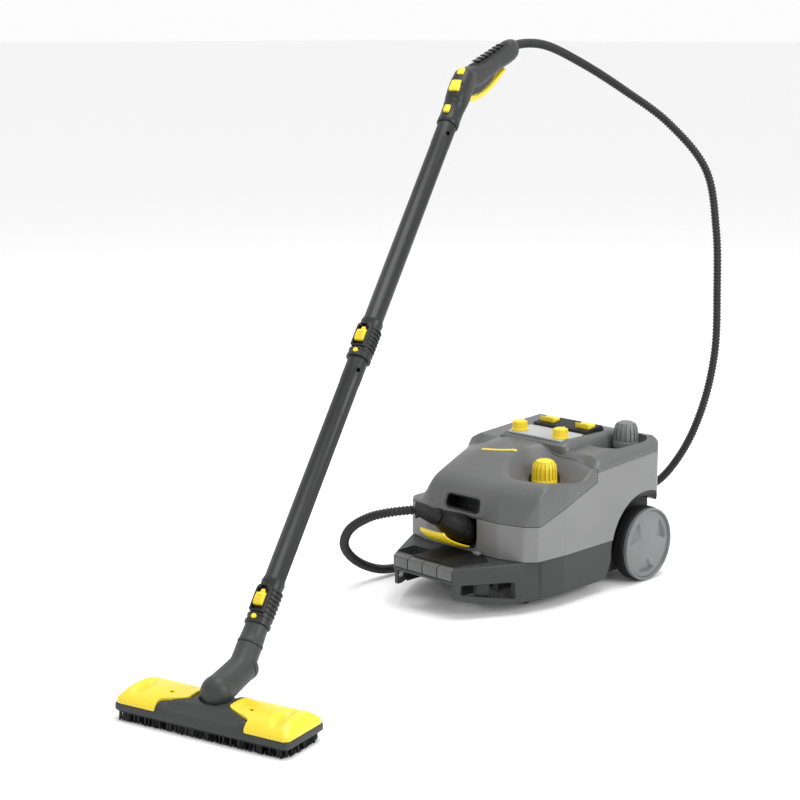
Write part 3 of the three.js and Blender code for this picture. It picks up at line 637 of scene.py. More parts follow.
# ---------------------------------------------------------------- the cord's line
def through(points, per_span=24):
    """A centripetal Catmull-Rom curve through the points."""
    line = [Vector(p) for p in points]
    ends = [2 * line[0] - line[1], *line, 2 * line[-1] - line[-2]]
    result = []
    for i in range(1, len(ends) - 2):
        p0, p1, p2, p3 = ends[i - 1:i + 3]
        t1 = max((p1 - p0).length, 1e-6) ** 0.5
        t2 = t1 + max((p2 - p1).length, 1e-6) ** 0.5
        t3 = t2 + max((p3 - p2).length, 1e-6) ** 0.5
        for k in range(per_span):
            t = t1 + (t2 - t1) * k / per_span
            a1 = p0 * ((t1 - t) / t1) + p1 * (t / t1)
            a2 = p1 * ((t2 - t) / (t2 - t1)) + p2 * ((t - t1) / (t2 - t1))
            a3 = p2 * ((t3 - t) / (t3 - t2)) + p3 * ((t - t2) / (t3 - t2))
            b1 = a1 * ((t2 - t) / t2) + a2 * (t / t2)
            b2 = a2 * ((t3 - t) / (t3 - t1)) + a3 * ((t - t1) / (t3 - t1))
            result.append(b1 * ((t2 - t) / (t2 - t1)) + b2 * ((t - t1) / (t2 - t1)))
    result.append(line[-1])
    return result


def along(line, sections):
    """Rings that follow a line, each section turned square to it; sections are lists of (a, b)."""
    rings = []
    side = Vector((1, 0, 0))
    for i, (point, section) in enumerate(zip(line, sections)):
        ahead = line[min(i + 1, len(line) - 1)] - line[max(i - 1, 0)]
        ahead.normalize()
        side = (side - ahead * side.dot(ahead)).normalized()
        up = ahead.cross(side)
        rings.append([point + side * a + up * b for a, b in section])
    return rings


# ---------------------------------------------------------------- the housing's outer surface
SEAM_Z = 90.4
SEAM = 1.1
SHOULDER = 6.0
HOOD_EDGE = [(-420, 150), (-277, 150), (-194, 181), (-138, 201)]
HOOD_REAR = -138
FRONT_FACE = [(-10, 120), (0, 150), (4, 168), (9, 186), (14, 198), (22, 207), (40, 230), (60, 400)]
CREST_LINE = [(-330, 206), (-292, 208), (-270, 217), (-250, 224), (-210, 238), (-170, 246), (-138, 250),
              (60, 250)]
RIM_LINE = [(-330, 208), (-300, 209), (-268, 215), (-200, 220), (-138, 225), (60, 226)]
SAFETY_CAP = (70, -182)
TANK_CAP = (100, 3)


def blend_max(a, b, reach):
    """The larger of two, rounded where they cross."""
    share = np.clip(0.5 + 0.5 * (a - b) / reach, 0, 1)
    return b + (a - b) * share + reach * share * (1 - share)


def blend_min(a, b, reach):
    return -blend_max(-a, -b, reach)


def top_height(x, y):
    """Height of the housing's top, crowned across, with the scoop round the safety cap."""
    x, y = np.asarray(x, float), np.asarray(y, float)
    side = np.abs(x)
    inset = np.minimum(y + 314, 0.266 * (127 - side) + 0.964 * (y + 301))
    share = np.clip((side - 40) / 98, 0, 1)
    share = share * share * (3 - 2 * share)
    middle_height = np.interp(y, *zip(*CREST_LINE))
    hood = middle_height + (np.interp(y, *zip(*RIM_LINE)) - middle_height) * share
    hood = blend_min(hood, np.interp(inset, *zip(*FRONT_FACE)), 5)
    behind = np.where(y > SAFETY_CAP[1], 2.5, 1.0)
    beside = np.where(x < SAFETY_CAP[0], 2.2, 0.85)
    scoop_at = np.hypot((x - SAFETY_CAP[0]) * beside, (y - SAFETY_CAP[1]) * behind)
    scoop = 190 + 0.5 * np.maximum(scoop_at - 27, 0)
    steep = 103 + 1.17 * (y + 286) + 1.63 * (x + 148)
    gentle = 183 + 0.436 * (y + 207) + 0.84 * (x + 148)
    hood = blend_min(hood, blend_max(blend_min(steep, gentle, 8), 153, 8), 6)
    hood = blend_min(hood, scoop, 7)
    rim = 229 + 10 * np.clip((y + 138) / 170, 0, 1)
    rear = rim + np.minimum(0.55 * np.maximum(150 - np.abs(x), 0), 12)
    share = np.clip((y - HOOD_REAR) / 12, 0, 1)
    share = share * share * (3 - 2 * share)
    return hood * (1 - share) + rear * share


def house_outline():
    corners = [(80, -314, 30), (127, -301, 14), (144, -283, 5), (150, -217, 4), (150, 30, 10), (140, 46, 8)]
    whole = corners + [(-x, y, r) for x, y, r in reversed(corners)]
    dense = []
    outline = filleted(whole, 5)
    for i, here in enumerate(outline):
        after = outline[(i + 1) % len(outline)]
        gap = math.dist(here, after)
        steps = max(1, round(gap / 5))
        dense += [tuple(np.add(here, np.subtract(after, here) * k / steps)) for k in range(steps)]
    return np.array(dense)


def housing():
    """The whole housing as one closed skin: a wall, a rounded shoulder and the crowned top."""
    outline = house_outline()
    centre = np.array(HOUSE_CENTRE)
    reach = np.linalg.norm(outline - centre, axis=1)
    rings = []
    wall = top_height(outline[:, 0], outline[:, 1]) - SHOULDER
    for share in (0, 0.25, 0.5, 0.75, 1):
        height = SEAM_Z + (wall - SEAM_Z) * share
        rings.append(np.column_stack([outline, height]))
    for step in range(1, 6):
        angle = step / 5 * math.pi / 2
        inset = SHOULDER * (1 - math.cos(angle))
        flat = centre + (outline - centre) * (1 - inset / reach)[:, None]
        height = top_height(flat[:, 0], flat[:, 1]) - SHOULDER * (1 - math.sin(angle))
        rings.append(np.column_stack([flat, height]))
    inner = 1 - SHOULDER / reach
    steps = 50
    for step in range(1, steps):
        flat = centre + (outline - centre) * (inner * (1 - step / steps))[:, None]
        rings.append(np.column_stack([flat, top_height(flat[:, 0], flat[:, 1])]))

    def build(bm):
        rows = loft(bm, [[tuple(p) for p in ring] for ring in rings], capped=False)
        bm.faces.new(rows[0][::-1])
        tip = bm.verts.new((*centre, float(top_height(*centre))))
        last = rows[-1]
        for i, vert in enumerate(last):
            bm.faces.new((vert, last[(i + 1) % len(last)], tip))
    return closed(build)


def arch_tool(side):
    """What a rear wheel's arch takes away, with its flared outer edge."""
    profile = [(0, 118), (84, 118), (84, 138), (97, 152), (97, 190), (0, 190)]
    if side < 0:
        profile = [(r, -h) for r, h in profile]
    return turning(profile, 72, "X", HUB)


def hood_region(grow):
    """The hood's part of the housing, seen from the side, made larger or smaller by half a seam."""
    outline = [(y, z - grow) for y, z in HOOD_EDGE]
    outline[-1] = (HOOD_REAR + grow, outline[-1][1])
    outline += [(HOOD_REAR + grow, 330), (-420, 330)]
    return slab(outline, -220, 220, "YZ")


def rim_region(lower):
    """The upper band of the rear housing, cut as a piece of its own; its darker colour is painted shade on
    the upward-facing top.
    """
    outline = [(HOOD_REAR + SEAM / 2, 217 + lower), (80, 230 + lower), (80, 330),
               (HOOD_REAR + SEAM / 2, 330)]
    return slab(outline, -220, 220, "YZ")


def wheel_house(name, side):
    """The dark lining and lip of a wheel arch."""
    def place(radius, height):
        return radius, side * height
    profile = [place(82.5, 117), place(84.4, 117), place(84.4, 137.6), place(97.2, 151.4),
               place(98.6, 150.4), place(98.6, 151.8), place(95.6, 151.8), place(82.5, 138.4),
               place(82.5, 117)]
    bm = turning(profile, 96, "X", HUB)
    back = turning([place(0, 117.2), place(84, 117.2), place(84, 119), place(0, 119)], 72, "X", HUB)
    hole = turning([place(0, 100), place(12, 100), place(12, 130), place(0, 130)], 40, "X", HUB)
    bm = carved(bm, back, operation="UNION")
    low, high = sorted((side * 60, side * 170))
    below = cuboid((low, -140, -60), (high, 140, 91))
    room = slab([(x * 0.996, y * 0.996) for x, y in house_outline()], 90, 240)
    bm = carved(carved(bm, below, hole), room, operation="INTERSECT")
    finish_piece(f"wheel_house_{name}", bm, MACHINE, "black", "machine")


def handle_outline(width, height, radius):
    return rounded(width, height, radius, steps=5)


def build_housing():
    """Splits the housing into the side shell and the front hood and cuts their openings."""
    bowl = filleted([(79, -58, 18), (122, -58, 20), (124, 24, 20), (79, 24, 18)], 6)
    tank_pocket = skinned([[(*p, 226.5) for p in bowl],
                           [(76 + (x - 79) * 1.12, y * 1.10, 231) for x, y in bowl],
                           [(74 + (x - 79) * 1.38, y * 1.36, 246) for x, y in bowl],
                           [(74 + (x - 79) * 1.42, y * 1.42, 270) for x, y in bowl]])
    plug_pocket = bmesh.new()
    prism(plug_pocket, rounded(70, 56, 15, 0, 2), -60, 30, "XZ")
    plug_pocket.transform(MACHINE.inverted() @ SOCKET)
    bmesh.ops.recalc_face_normals(plug_pocket, faces=plug_pocket.faces)
    hollow = slab(filleted([(108, -262, 12), (108, 36, 6), (-108, 36, 6), (-108, -262, 12)]), 60, 176)
    side = carved(housing(), hood_region(SEAM / 2), rim_region(0), arch_tool(1), arch_tool(-1),
                  plug_pocket, hollow)
    finish_piece("side_shell_moulding", side, MACHINE, "shell", "machine", ["side_shell"])
    # The top band takes the darker hood colour: painted shade on the upward-facing top.
    rim = carved(carved(housing(), rim_region(0.3), operation="INTERSECT"), tank_pocket)
    finish_piece("side_shell_rim", rim, MACHINE, "hood", "machine")
    for name, side in SIDES:
        wheel_house(name, side)
    grip_pocket = bmesh.new()
    prism(grip_pocket, rounded(76, 25, 9, 0, 0, 5), -30, 28, "XZ")
    grip_pocket.transform(MACHINE.inverted() @ FRONT)
    bmesh.ops.recalc_face_normals(grip_pocket, faces=grip_pocket.faces)
    cap_pocket = turning([(0, 180), (26.5, 180), (26.5, 191), (30, 262), (0, 262)], 64, "Z",
                         (*SAFETY_CAP, 0))
    hood = carved(carved(housing(), hood_region(-SEAM / 2), operation="INTERSECT"), grip_pocket, cap_pocket)
    finish_piece("front_hood_moulding", hood, MACHINE, "hood", "machine", ["front_hood"])


# ---------------------------------------------------------------- operators
class CLEANER_OT_stage(bpy.types.Operator):
    """Makes the floor, the lights and the camera"""
    bl_idname = "cleaner.stage"
    bl_label = "Stage"

    def execute(self, context):
        scene = context.scene
        eye = bpy.data.cameras.new("camera")
        eye.lens = 81
        eye.sensor_width = 36
        eye.clip_end = 300
        camera = bpy.data.objects.new("camera", eye)
        camera.location = MACHINE @ Vector(CAMERA_AT)
        camera.rotation_euler = (math.radians(90 - CAMERA_DOWN), 0, math.radians(CAMERA_TURN))
        scene.collection.objects.link(camera)
        scene.camera = camera
        bm = bmesh.new()
        bmesh.ops.create_grid(bm, x_segments=2, y_segments=2, size=120)
        floor = as_object("floor", bm)
        floor.data.materials.append(moulded("pale_floor", (0.93, 0.93, 0.93), 0.8, mottle=0.004, gloss=0.1))
        self.light(scene, "key", (3.7, 0.6, 2.0), 1.8, 78)
        self.light(scene, "fill", (-3.0, -0.6, 2.4), 2.4, 5)
        self.light(scene, "top", (0.2, 0.3, 3.6), 2.6, 76)
        world = bpy.data.worlds.new("studio")
        world.use_nodes = True
        world.node_tree.nodes["Background"].inputs["Color"].default_value = (1, 1, 1, 1)
        world.node_tree.nodes["Background"].inputs["Strength"].default_value = 0.98
        scene.world = world
        scene.view_settings.view_transform = "Standard"
        return {"FINISHED"}

    @staticmethod
    def light(scene, name, at, size, power):
        lamp = bpy.data.lights.new(name, "AREA")
        lamp.shape = "DISK"
        lamp.size = size
        lamp.energy = power
        holder = bpy.data.objects.new(name, lamp)
        holder.location = at
        holder.rotation_euler = (Vector((0, 0, 0.3)) - Vector(at)).to_track_quat("-Z", "Y").to_euler()
        scene.collection.objects.link(holder)


class CLEANER_OT_hose(bpy.types.Operator):
    """Makes the corrugated steam hose and its bell-mouthed boot"""
    bl_idname = "cleaner.hose"
    bl_label = "Steam hose"

    def execute(self, context):
        sizes = context.scene.cleaner_sizes
        line = [MACHINE @ p for p in through(HOSE_ROUTE)]
        run = sum((b - a).length for a, b in zip(line, line[1:]))
        curve = bpy.data.curves.new("hose_line", "CURVE")
        curve.dimensions = "3D"
        spline = curve.splines.new("POLY")
        spline.points.add(len(line) - 1)
        for point, place in zip(spline.points, line):
            point.co = (*place, 1)
        guide = bpy.data.objects.new("hose_line", curve)
        context.scene.collection.objects.link(guide)
        bm = grown(guide, hose_tree(), "hose", Radius=sizes.hose_diameter / 2, Groove=sizes.hose_depth,
                   Corrugations=round(run / sizes.hose_pitch), Sides=16, Material=FINISH["hose"])
        bmesh.ops.remove_doubles(bm, verts=bm.verts, dist=1e-6)
        bmesh.ops.recalc_face_normals(bm, faces=bm.faces)
        hose = finish_piece("corrugated_hose", bm, Matrix.Identity(4), "hose", "machine", ["steam_hose"],
                            sharp=80)
        boot_line = through(BOOT_ROUTE, 8)
        boot = closed(lambda body: self.boot(body, boot_line))
        boot = finish_piece("hose_boot", boot, MACHINE, "black", "machine", ["plug_boot"])
        plug = self.plug()
        tuple(line[0])
        [tuple(p) for p in line]
        return {"FINISHED"}

    @staticmethod
    def boot(bm, line):
        count = len(line)
        radii = []
        for i in range(count):
            share = i / (count - 1)
            radii.append(13.4 - 1.2 * math.sin(math.pi * share) + (1.0 if share > 0.8 else 0))
        rings = along(line, [superellipse(r, r, 2, 32) for r in radii])
        mouth = along(line, [superellipse(r - 3.4, r - 3.4, 2, 32) for r in radii])
        loft(bm, rings + mouth[:-4:-1])

    @staticmethod
    def plug():
        """The ribbed plug that sits in the socket."""
        stations = [(2, 22, 17, 1), (0, 25, 19, 1), (-8, 26.5, 20.5, 1), (-26, 27, 21.5, 1),
                    (-44, 26.5, 21, 1), (-60, 24, 19.5, 1.5), (-74, 19, 17, 2), (-84, 15.5, 15, 2),
                    (-92, 14.6, 14.4, 2.2), (-97, 14.2, 14, 2.4)]
        rings = [[(a, y, b + lift) for a, b in superellipse(w, h, 2.7, 40)] for y, w, h, lift in stations]
        bm = skinned(rings)
        grooves = []
        for y in (-14, -30, -46):
            grooves.append(skinned([[(a, y + d, b + 1) for a, b in superellipse(w, w * 0.82, 2.7, 40)]
                                    for d, w in ((-1.1, 40), (1.1, 40))]))
            inner = skinned([[(a, y + d, b + 1) for a, b in superellipse(25.4, 19.6, 2.7, 40)]
                             for d in (-4, 4)])
            grooves[-1] = carved(grooves[-1], inner)
        seam = cuboid((-40, -90, 0.2), (40, 4, 1.6))
        core = skinned([[(a, y, b + lift) for a, b in superellipse(w - 0.9, h + 6, 2.7, 40)]
                        for y, w, h, lift in stations])
        grooves.append(carved(seam, core))
        return finish_piece("steam_plug_body", carved(bm, *grooves), SOCKET, "black", "machine",
                            ["steam_plug"])


class CLEANER_OT_housing(bpy.types.Operator):
    """Makes the side shell, the front hood with its grip frame and stripe"""
    bl_idname = "cleaner.housing"
    bl_label = "Housing"

    def execute(self, context):
        build_housing()
        ring = closed(lambda bm: self.grip_frame(bm))
        soften(ring, 1.4, 3)
        finish_piece("grip_frame", ring, FRONT, "hood", "machine")
        liner = slab(handle_outline(75, 24, 8.6), -4, 26, "XZ")
        inside = slab(handle_outline(70, 20, 7), -20, 23, "XZ")
        finish_piece("grip_liner", carved(liner, inside), FRONT, "black", "machine", ["handle_liner"])
        self.stripe()
        self.socket_cup()
        return {"FINISHED"}

    @staticmethod
    def grip_frame(bm):
        rows = []
        for width, height, radius, depth in ((100, 44, 15, 3), (96, 40, 14, -3.2), (84, 31, 11, -4.2),
                                             (79, 26, 9.4, -1.5), (77.2, 25, 9, 6)):
            rows.append([(a, depth, b) for a, b in handle_outline(width, height, radius)])
        rows.append([(a, 3, b) for a, b in handle_outline(99, 43, 15)])
        loft(bm, rows, capped=False)

    @staticmethod
    def stripe():
        """A plain stripe laid on the hood's crown."""
        start, end = np.array((-49.5, -208.5)), np.array((10.5, -186.0))
        way = (end - start) / np.linalg.norm(end - start)
        out = np.array((way[1], -way[0]))
        steps = 24
        rows = []
        for lift in (0.9, -0.6):
            for side in (2.6, -2.6):
                row = []
                for i in range(steps + 1):
                    share = i / steps
                    flat = start + (end - start) * share + out * (side + 3 - 12 * (share - 0.5) ** 2)
                    row.append((*flat, float(top_height(*flat)) + lift))
                rows.append(row)
        sections = list(zip(rows[0], rows[1], rows[3], rows[2]))
        bar = skinned(sections)
        finish_piece("hood_stripe", bar, MACHINE, "yellow", "machine")

    @staticmethod
    def socket_cup():
        """The dark recess that the plug enters."""
        outer = slab(rounded(69, 55, 15, 0, 2), -19, 28, "XZ")
        inner = slab(rounded(63, 49, 12, 0, 2), -40, 24, "XZ")
        finish_piece("socket_cup", carved(outer, inner), SOCKET, "black", "machine", ["steam_socket"])


class CLEANER_OT_base(bpy.types.Operator):
    """Makes the base pan with its bumper nose"""
    bl_idname = "cleaner.base"
    bl_label = "Base pan"

    def execute(self, context):
        tub_plan = [(100, -272, 8), (137, -268, 8), (146, -217, 3), (146, 42, 8)]
        whole = filleted(tub_plan + [(-x, y, r) for x, y, r in reversed(tub_plan)])
        wide = [(x * 1.012, y if y > -200 else y - 3) for x, y in whole]
        narrow = [(x * 0.965, y) for x, y in whole]
        tub = skinned([[(*p, 20) for p in narrow], [(*p, 24) for p in whole], [(*p, 89.4) for p in wide]])
        nose = closed(self.nose)
        body = carved(tub, nose, operation="UNION")
        cuts = [arch_tool(1), arch_tool(-1)]
        for side in (1, -1):
            slant = [(-76, 92), (-108, 14), (80, 14), (80, 92)]
            low, high = sorted((side * 119, side * 170))
            cuts.append(slab(slant, low, high, "YZ"))
            cuts.append(turning([(0, 10), (34, 10), (34, 62), (0, 62)], 48, "Z", (side * 84, -262, 0)))
            cuts.append(closed(lambda bm, side=side: self.side_cavity(bm, side)))
        for grow, low, high in ((0, 40, 86), (2.6, 85, 95)):
            hole = rounded(38 + grow, 40 + grow, 5, -56, -371)
            cuts.append(slab(hole, low, high))
        for x in (-33.5, 0, 33.5):
            cuts.append(cuboid((x - 0.8, -420, 66), (x + 0.8, -407.4, 100)))
            cuts.append(cuboid((x - 0.6, -412, 86.4), (x + 0.6, -396, 100)))
        cuts.append(cuboid((-90, -420, 66.2), (90, -407.9, 67.6)))
        belly = [(-430, 56), (-404, 62), (-380, 76), (-300, 119), (-284, 123)]
        cuts.append(skinned([[(-half, y, -10), (half, y, -10), (half, y, 61), (-half, y, 61)]
                             for y, half in belly]))
        body = carved(body, *cuts)
        finish_piece("base_pan_moulding", body, MACHINE, "dark", "machine", ["base_pan"])
        return {"FINISHED"}

    @staticmethod
    def nose(bm):
        stations = [(-409, 65, 63, 83.5, 2), (-407.6, 68, 61.5, 86, 2), (-403.5, 69.4, 60, 87.6, 2),
                    (-402.5, 70, 35, 87.8, 2), (-380, 83.5, 29, 88.6, 3), (-300, 128, 20.5, 89.6, 3),
                    (-262, 136, 22, 89.8, 3)]
        rings = []
        for y, half, low, high, radius in stations:
            corners = rounded(2 * half, high - low, radius, 0, (low + high) / 2, 3)
            rings.append([(x, y, z) for x, z in corners])
        loft(bm, rings)

    @staticmethod
    def side_cavity(bm, side):
        """The open window in the flank of the nose."""
        outline = filleted([(-396, 44, 2), (-395, 60, 2), (-314, 58, 3), (-312, 29, 3), (-346, 34, 8),
                            (-386, 41, 4)], 3)
        low, high = sorted((side * 52, side * 150))
        prism(bm, outline, low, high, "YZ")


class CLEANER_OT_nose_trim(bpy.types.Operator):
    """Makes the bumper plates, the deck with black sheets of painted shade in the side cavities, and the
    posts of the nose
    """
    bl_idname = "cleaner.nose_trim"
    bl_label = "Nose trim"

    def execute(self, context):
        plates = bmesh.new()
        for low, high in ((-65.5, -34.4), (-32.6, -0.9), (0.9, 32.6), (34.4, 65.5)):
            plate = skinned([[(low, -409.6, 68), (high, -409.6, 68), (high, -404, 68), (low, -404, 68)],
                             [(low, -410.2, 83), (high, -410.2, 83), (high, -404, 85), (low, -404, 85)],
                             [(low, -408.4, 87.2), (high, -408.4, 87.2), (high, -402, 88.4),
                              (low, -402, 88.4)]])
            soften(plate, 0.7, 2, 20)
            add_mesh(plates, plate)
        finish_piece("nose_plates", plates, MACHINE, "hood", "machine")
        deck = slab(filleted([(-34, -396, 2), (60, -396, 4), (84, -338, 6), (52, -312, 4), (-34, -312, 2)],
                             4), 88.2, 89.9)
        soften(deck, 0.6, 2)
        # Black sheets inside the side cavities: painted shade that hides the floor seen through them.
        for side in (1, -1):
            low, high = sorted((side * 61, side * 63))
            add_mesh(deck, cuboid((low, -382, 36), (high, -302, 61.5)))
        finish_piece("nose_deck", deck, MACHINE, "black", "machine")
        posts = bmesh.new()
        for side in (1, -1):
            post = skinned([[(side * a, b, z)
                             for a, b in ((x - 8, -368), (x + 1.5, -368), (x + 11.5, -349), (x - 8, -349))]
                            for x, z in ((83, 34), (84, 62))])
            soften(post, 0.8, 2)
            add_mesh(posts, post)
        finish_piece("nose_posts", posts, MACHINE, "gun", "machine")
        tab = cuboid((36, -326, 90.2), (48, -316, 96))
        soften(tab, 1.5, 3)
        finish_piece("flap_catch", tab, MACHINE, "shell", "machine")
        return {"FINISHED"}


class CLEANER_OT_console(bpy.types.Operator):
    """Makes the console, its panel, the dials and the rocker switches"""
    bl_idname = "cleaner.console"
    bl_label = "Console"

    def execute(self, context):
        sizes = context.scene.cleaner_sizes
        self.hump()
        panel = skinned([[(x, y, z) for x, y in rounded(2 * w, d, r, 0, cy)]
                         for w, d, r, cy, z in ((61, 66, 8, -97, 255.0), (61, 66, 8, -97, 257.4),
                                                (59.6, 64, 7, -97, 258.2))])
        finish_piece("control_panel", panel, MACHINE, "panel", "machine")
        self.bezel()
        for name, x in (("heater_switch", 40), ("main_switch", -40)):
            self.rocker(name, x)
        for name, x in (("steam_dial", 46), ("dosing_dial", -46)):
            dial(name, x, sizes.dial_ribs)
        return {"FINISHED"}

    @staticmethod
    def hump():
        stations = [(224, 80, -134, 22, 14), (240, 79, -136.5, 20, 14), (249, 76.5, -136, 18, 14),
                    (254, 72.5, -130, 15, 13), (256.6, 68, -122, 12, 12), (257.2, 65, -117, 10, 11)]
        rings = []
        for z, half, front, rear, radius in stations:
            outline = rounded(2 * half, rear - front, radius, 0, (front + rear) / 2, 5)
            rings.append([(x, y, z) for x, y in outline])
        bm = skinned(rings)
        well = cuboid((-61.5, -61.5, 254), (61.5, -8, 270))
        holes = [turning([(0, 240), (4.6, 240), (4.6, 270), (0, 270)], 32, "Z", (x, -112, 0))
                 for x in (46, -46)]
        bm = carved(bm, well, *holes)
        finish_piece("console_hump", bm, MACHINE, "hood", "machine", ["console"])

    @staticmethod
    def bezel():
        outline = [(-61, 254.4), (-58.5, 262), (-14, 267), (-9.5, 261), (-9, 254.4)]
        bm = slab(outline, -60.6, 60.6, "YZ")
        soften(bm, 1.6, 3)
        seats = [cuboid((x - 16, -48, 258), (x + 16, -24, 300)) for x in (40, -40)]
        finish_piece("switch_frame", carved(bm, *seats), MACHINE, "black", "machine", ["switch_bezel"])

    @staticmethod
    def rocker(name, x):
        outline = [(-9.6, -4), (9.6, -4), (10.2, 4), (5, 2.9), (0, 2.6), (-5, 3.8), (-10.2, 6.2)]
        bm = slab(outline, -15, 15, "YZ")
        soften(bm, 1.0, 3, 40)
        place = MACHINE @ Matrix.Translation((x, -36, 266))
        finish_piece(name + "_cap", bm, place, "yellow", name, [name])


def rib_shape(inner, outer, half_width, low, high, crown=0.0):
    """A tapered upright rib, standing at angle zero."""
    def build(bm):
        loft(bm, [[(inner, -half_width, low), (outer, -half_width * 0.55, low),
                   (outer, half_width * 0.55, low), (inner, half_width, low)],
                  [(inner - crown, -half_width, high), (outer - crown, -half_width * 0.4, high),
                   (outer - crown, half_width * 0.4, high), (inner - crown, half_width, high)]])
    return closed(build)


def dial(name, x, ribs):
    """A ribbed dial on its spindle."""
    profile = [(0, 0.6), (15, 0.6), (15, 2.6), (12.2, 3.6), (11.9, 14), (11.2, 16), (9.4, 17.2), (0, 17.6)]
    bm = turning(profile, 64)
    bm = with_copies(bm, rib_shape(11.2, 13.6, 1.3, 3.2, 15.6, 0.5), round_tree(), "yellow", Count=ribs)
    brick(bm, (-0.9, 2, 17.2), (0.9, 10.6, 18.0))
    place = MACHINE @ Matrix.Translation((x, -112, 258.0))
    finish_piece(name + "_knob", bm, place, "yellow", name, [name])


class CLEANER_OT_caps(bpy.types.Operator):
    """Makes the ribbed safety cap and the tank cap with their wells; the safety cap's black well is painted
    shade
    """
    bl_idname = "cleaner.caps"
    bl_label = "Screw caps"

    def execute(self, context):
        ribs = context.scene.cleaner_sizes.cap_ribs
        self.cap("safety_cap", (*SAFETY_CAP, 190), 46, 22, "yellow", "signal_yellow", ribs)
        self.cap("tank_cap", (*TANK_CAP, 232), 46, 22.4, "disc", "panel_grey", ribs - 2)
        # The black ring in the gap round the safety cap is painted shade for the dark pit there.
        well = [(23.5, 181.5), (26.3, 181.5), (26.3, 189.6), (27.6, 190.6), (27.0, 188.0), (23.5, 183)]
        bm = turning([*well, well[0]], 64, "Z", (*SAFETY_CAP, 0))
        lathe(bm, [(13.2, 176), (24, 176), (24, 182), (13.2, 182), (13.2, 176)], 64, "Z", (*SAFETY_CAP, 0))
        finish_piece("safety_cap_well", bm, MACHINE, "black", "machine")
        seat = turning([(14, 226), (24, 226), (24, 228.6), (22.6, 229.8), (14, 229.8), (14, 226)], 64, "Z",
                       (*TANK_CAP, 0))
        finish_piece("tank_cap_seat", seat, MACHINE, "black", "machine")
        return {"FINISHED"}

    @staticmethod
    def cap(node, foot, height, radius, finish, slot, ribs):
        skirt = height * 0.24
        profile = [(13.4, 0), (radius, 0), (radius + 0.2, 1.4), (radius, skirt - 1), (radius - 0.8, skirt),
                   (radius - 3.2, skirt + 0.6), (radius - 3.6, height * 0.62),
                   (radius - 4.6, height * 0.82), (radius - 7.4, height * 0.94),
                   (radius - 12, height * 0.99), (0, height), (0, height - 8), (13.4, height - 12),
                   (13.4, 0)]
        bm = turning(profile, 72)
        top = height * 0.93
        rib = skinned([[(radius - 6, -1.5, z), (r, -w, z), (r, w, z), (radius - 6, 1.5, z)]
                       for z, r, w in ((skirt - 0.6, radius - 0.2, 1.5), (height * 0.62, radius - 0.9, 1.4),
                                       (height * 0.8, radius - 2.4, 1.3), (top, radius - 6.2, 1.0))])
        soften(rib, 0.35, 1, 30)
        bm = with_copies(bm, rib, round_tree(), finish, Count=ribs)
        finish_piece(node + "_moulding", bm, MACHINE @ Matrix.Translation(foot), finish, node, [node])


class CLEANER_OT_wheels(bpy.types.Operator):
    """Makes the rear wheels' discs and ribbed tyres"""
    bl_idname = "cleaner.wheels"
    bl_label = "Rear wheels"

    def execute(self, context):
        for name, side in SIDES:
            place = MACHINE @ Matrix.Translation(HUB) @ Matrix.Rotation(side * math.pi / 2, 4, "Y")
            self.disc(name, place)
            self.tyre(name, place)
        return {"FINISHED"}

    @staticmethod
    def disc(name, place):
        """A dished disc with three shallow triangular dents."""
        segments, steps = 120, 30
        radii = [58.6 * (i + 1) / steps for i in range(steps)]
        rings = []
        for radius in radii:
            ring = []
            for i in range(segments):
                angle = 2 * math.pi * i / segments
                dent = 0.0
                for spoke in range(3):
                    turn = (angle - math.radians(116 + 120 * spoke) + math.pi) % (2 * math.pi) - math.pi
                    half = math.radians(27) * np.clip((radius - 20) / 30, 0, 1)
                    inside = np.clip((half - abs(turn)) * radius / 3.4, 0, 1)
                    inside *= np.clip((radius - 24) / 5, 0, 1) * np.clip((51 - radius) / 4, 0, 1)
                    dent = max(dent, inside * (1.6 + 4.6 * (radius - 22) / 28))
                crown = 158.6 - 2.6 * (radius / 58.6) ** 2
                ring.append((radius * math.cos(angle), radius * math.sin(angle), crown - dent))
            rings.append(ring)
        rim = [(59.4, 155.4), (60.0, 158.2), (61.0, 159.6), (63.2, 159.6), (64.2, 158.2), (64.2, 152.2),
               (58, 151), (58, 136), (14, 132), (14, 125.2), (6.6, 125.2)]
        for radius, height in rim:
            rings.append([(radius * math.cos(2 * math.pi * i / segments),
                           radius * math.sin(2 * math.pi * i / segments), height) for i in range(segments)])

        def build(bm):
            rows = loft(bm, rings, capped=False)
            tip = bm.verts.new((0, 0, 158.6))
            for i, vert in enumerate(rows[0]):
                bm.faces.new((rows[0][(i + 1) % segments], vert, tip))
            bm.faces.new(rows[-1])
        finish_piece(f"wheel_{name}_disc", closed(build), place, "disc", f"wheel_{name}",
                     [f"wheel_disc_{name}"], sharp=30)

    @staticmethod
    def tyre(name, place):
        profile = [(58.3, 129), (63, 129), (65.2, 131)]
        for start in (133, 137.5, 142):
            profile += [(66, start), (66, start + 2.6), (64.2, start + 3.2), (64.2, start + 3.9)]
        profile += [(66, 147), (65.6, 149), (63.6, 150.6), (58.3, 150.6), (58.3, 129)]
        bm = turning(profile, 96)
        finish_piece(f"wheel_{name}_tyre", bm, place, "rubber", f"wheel_{name}", [f"tyre_{name}"])


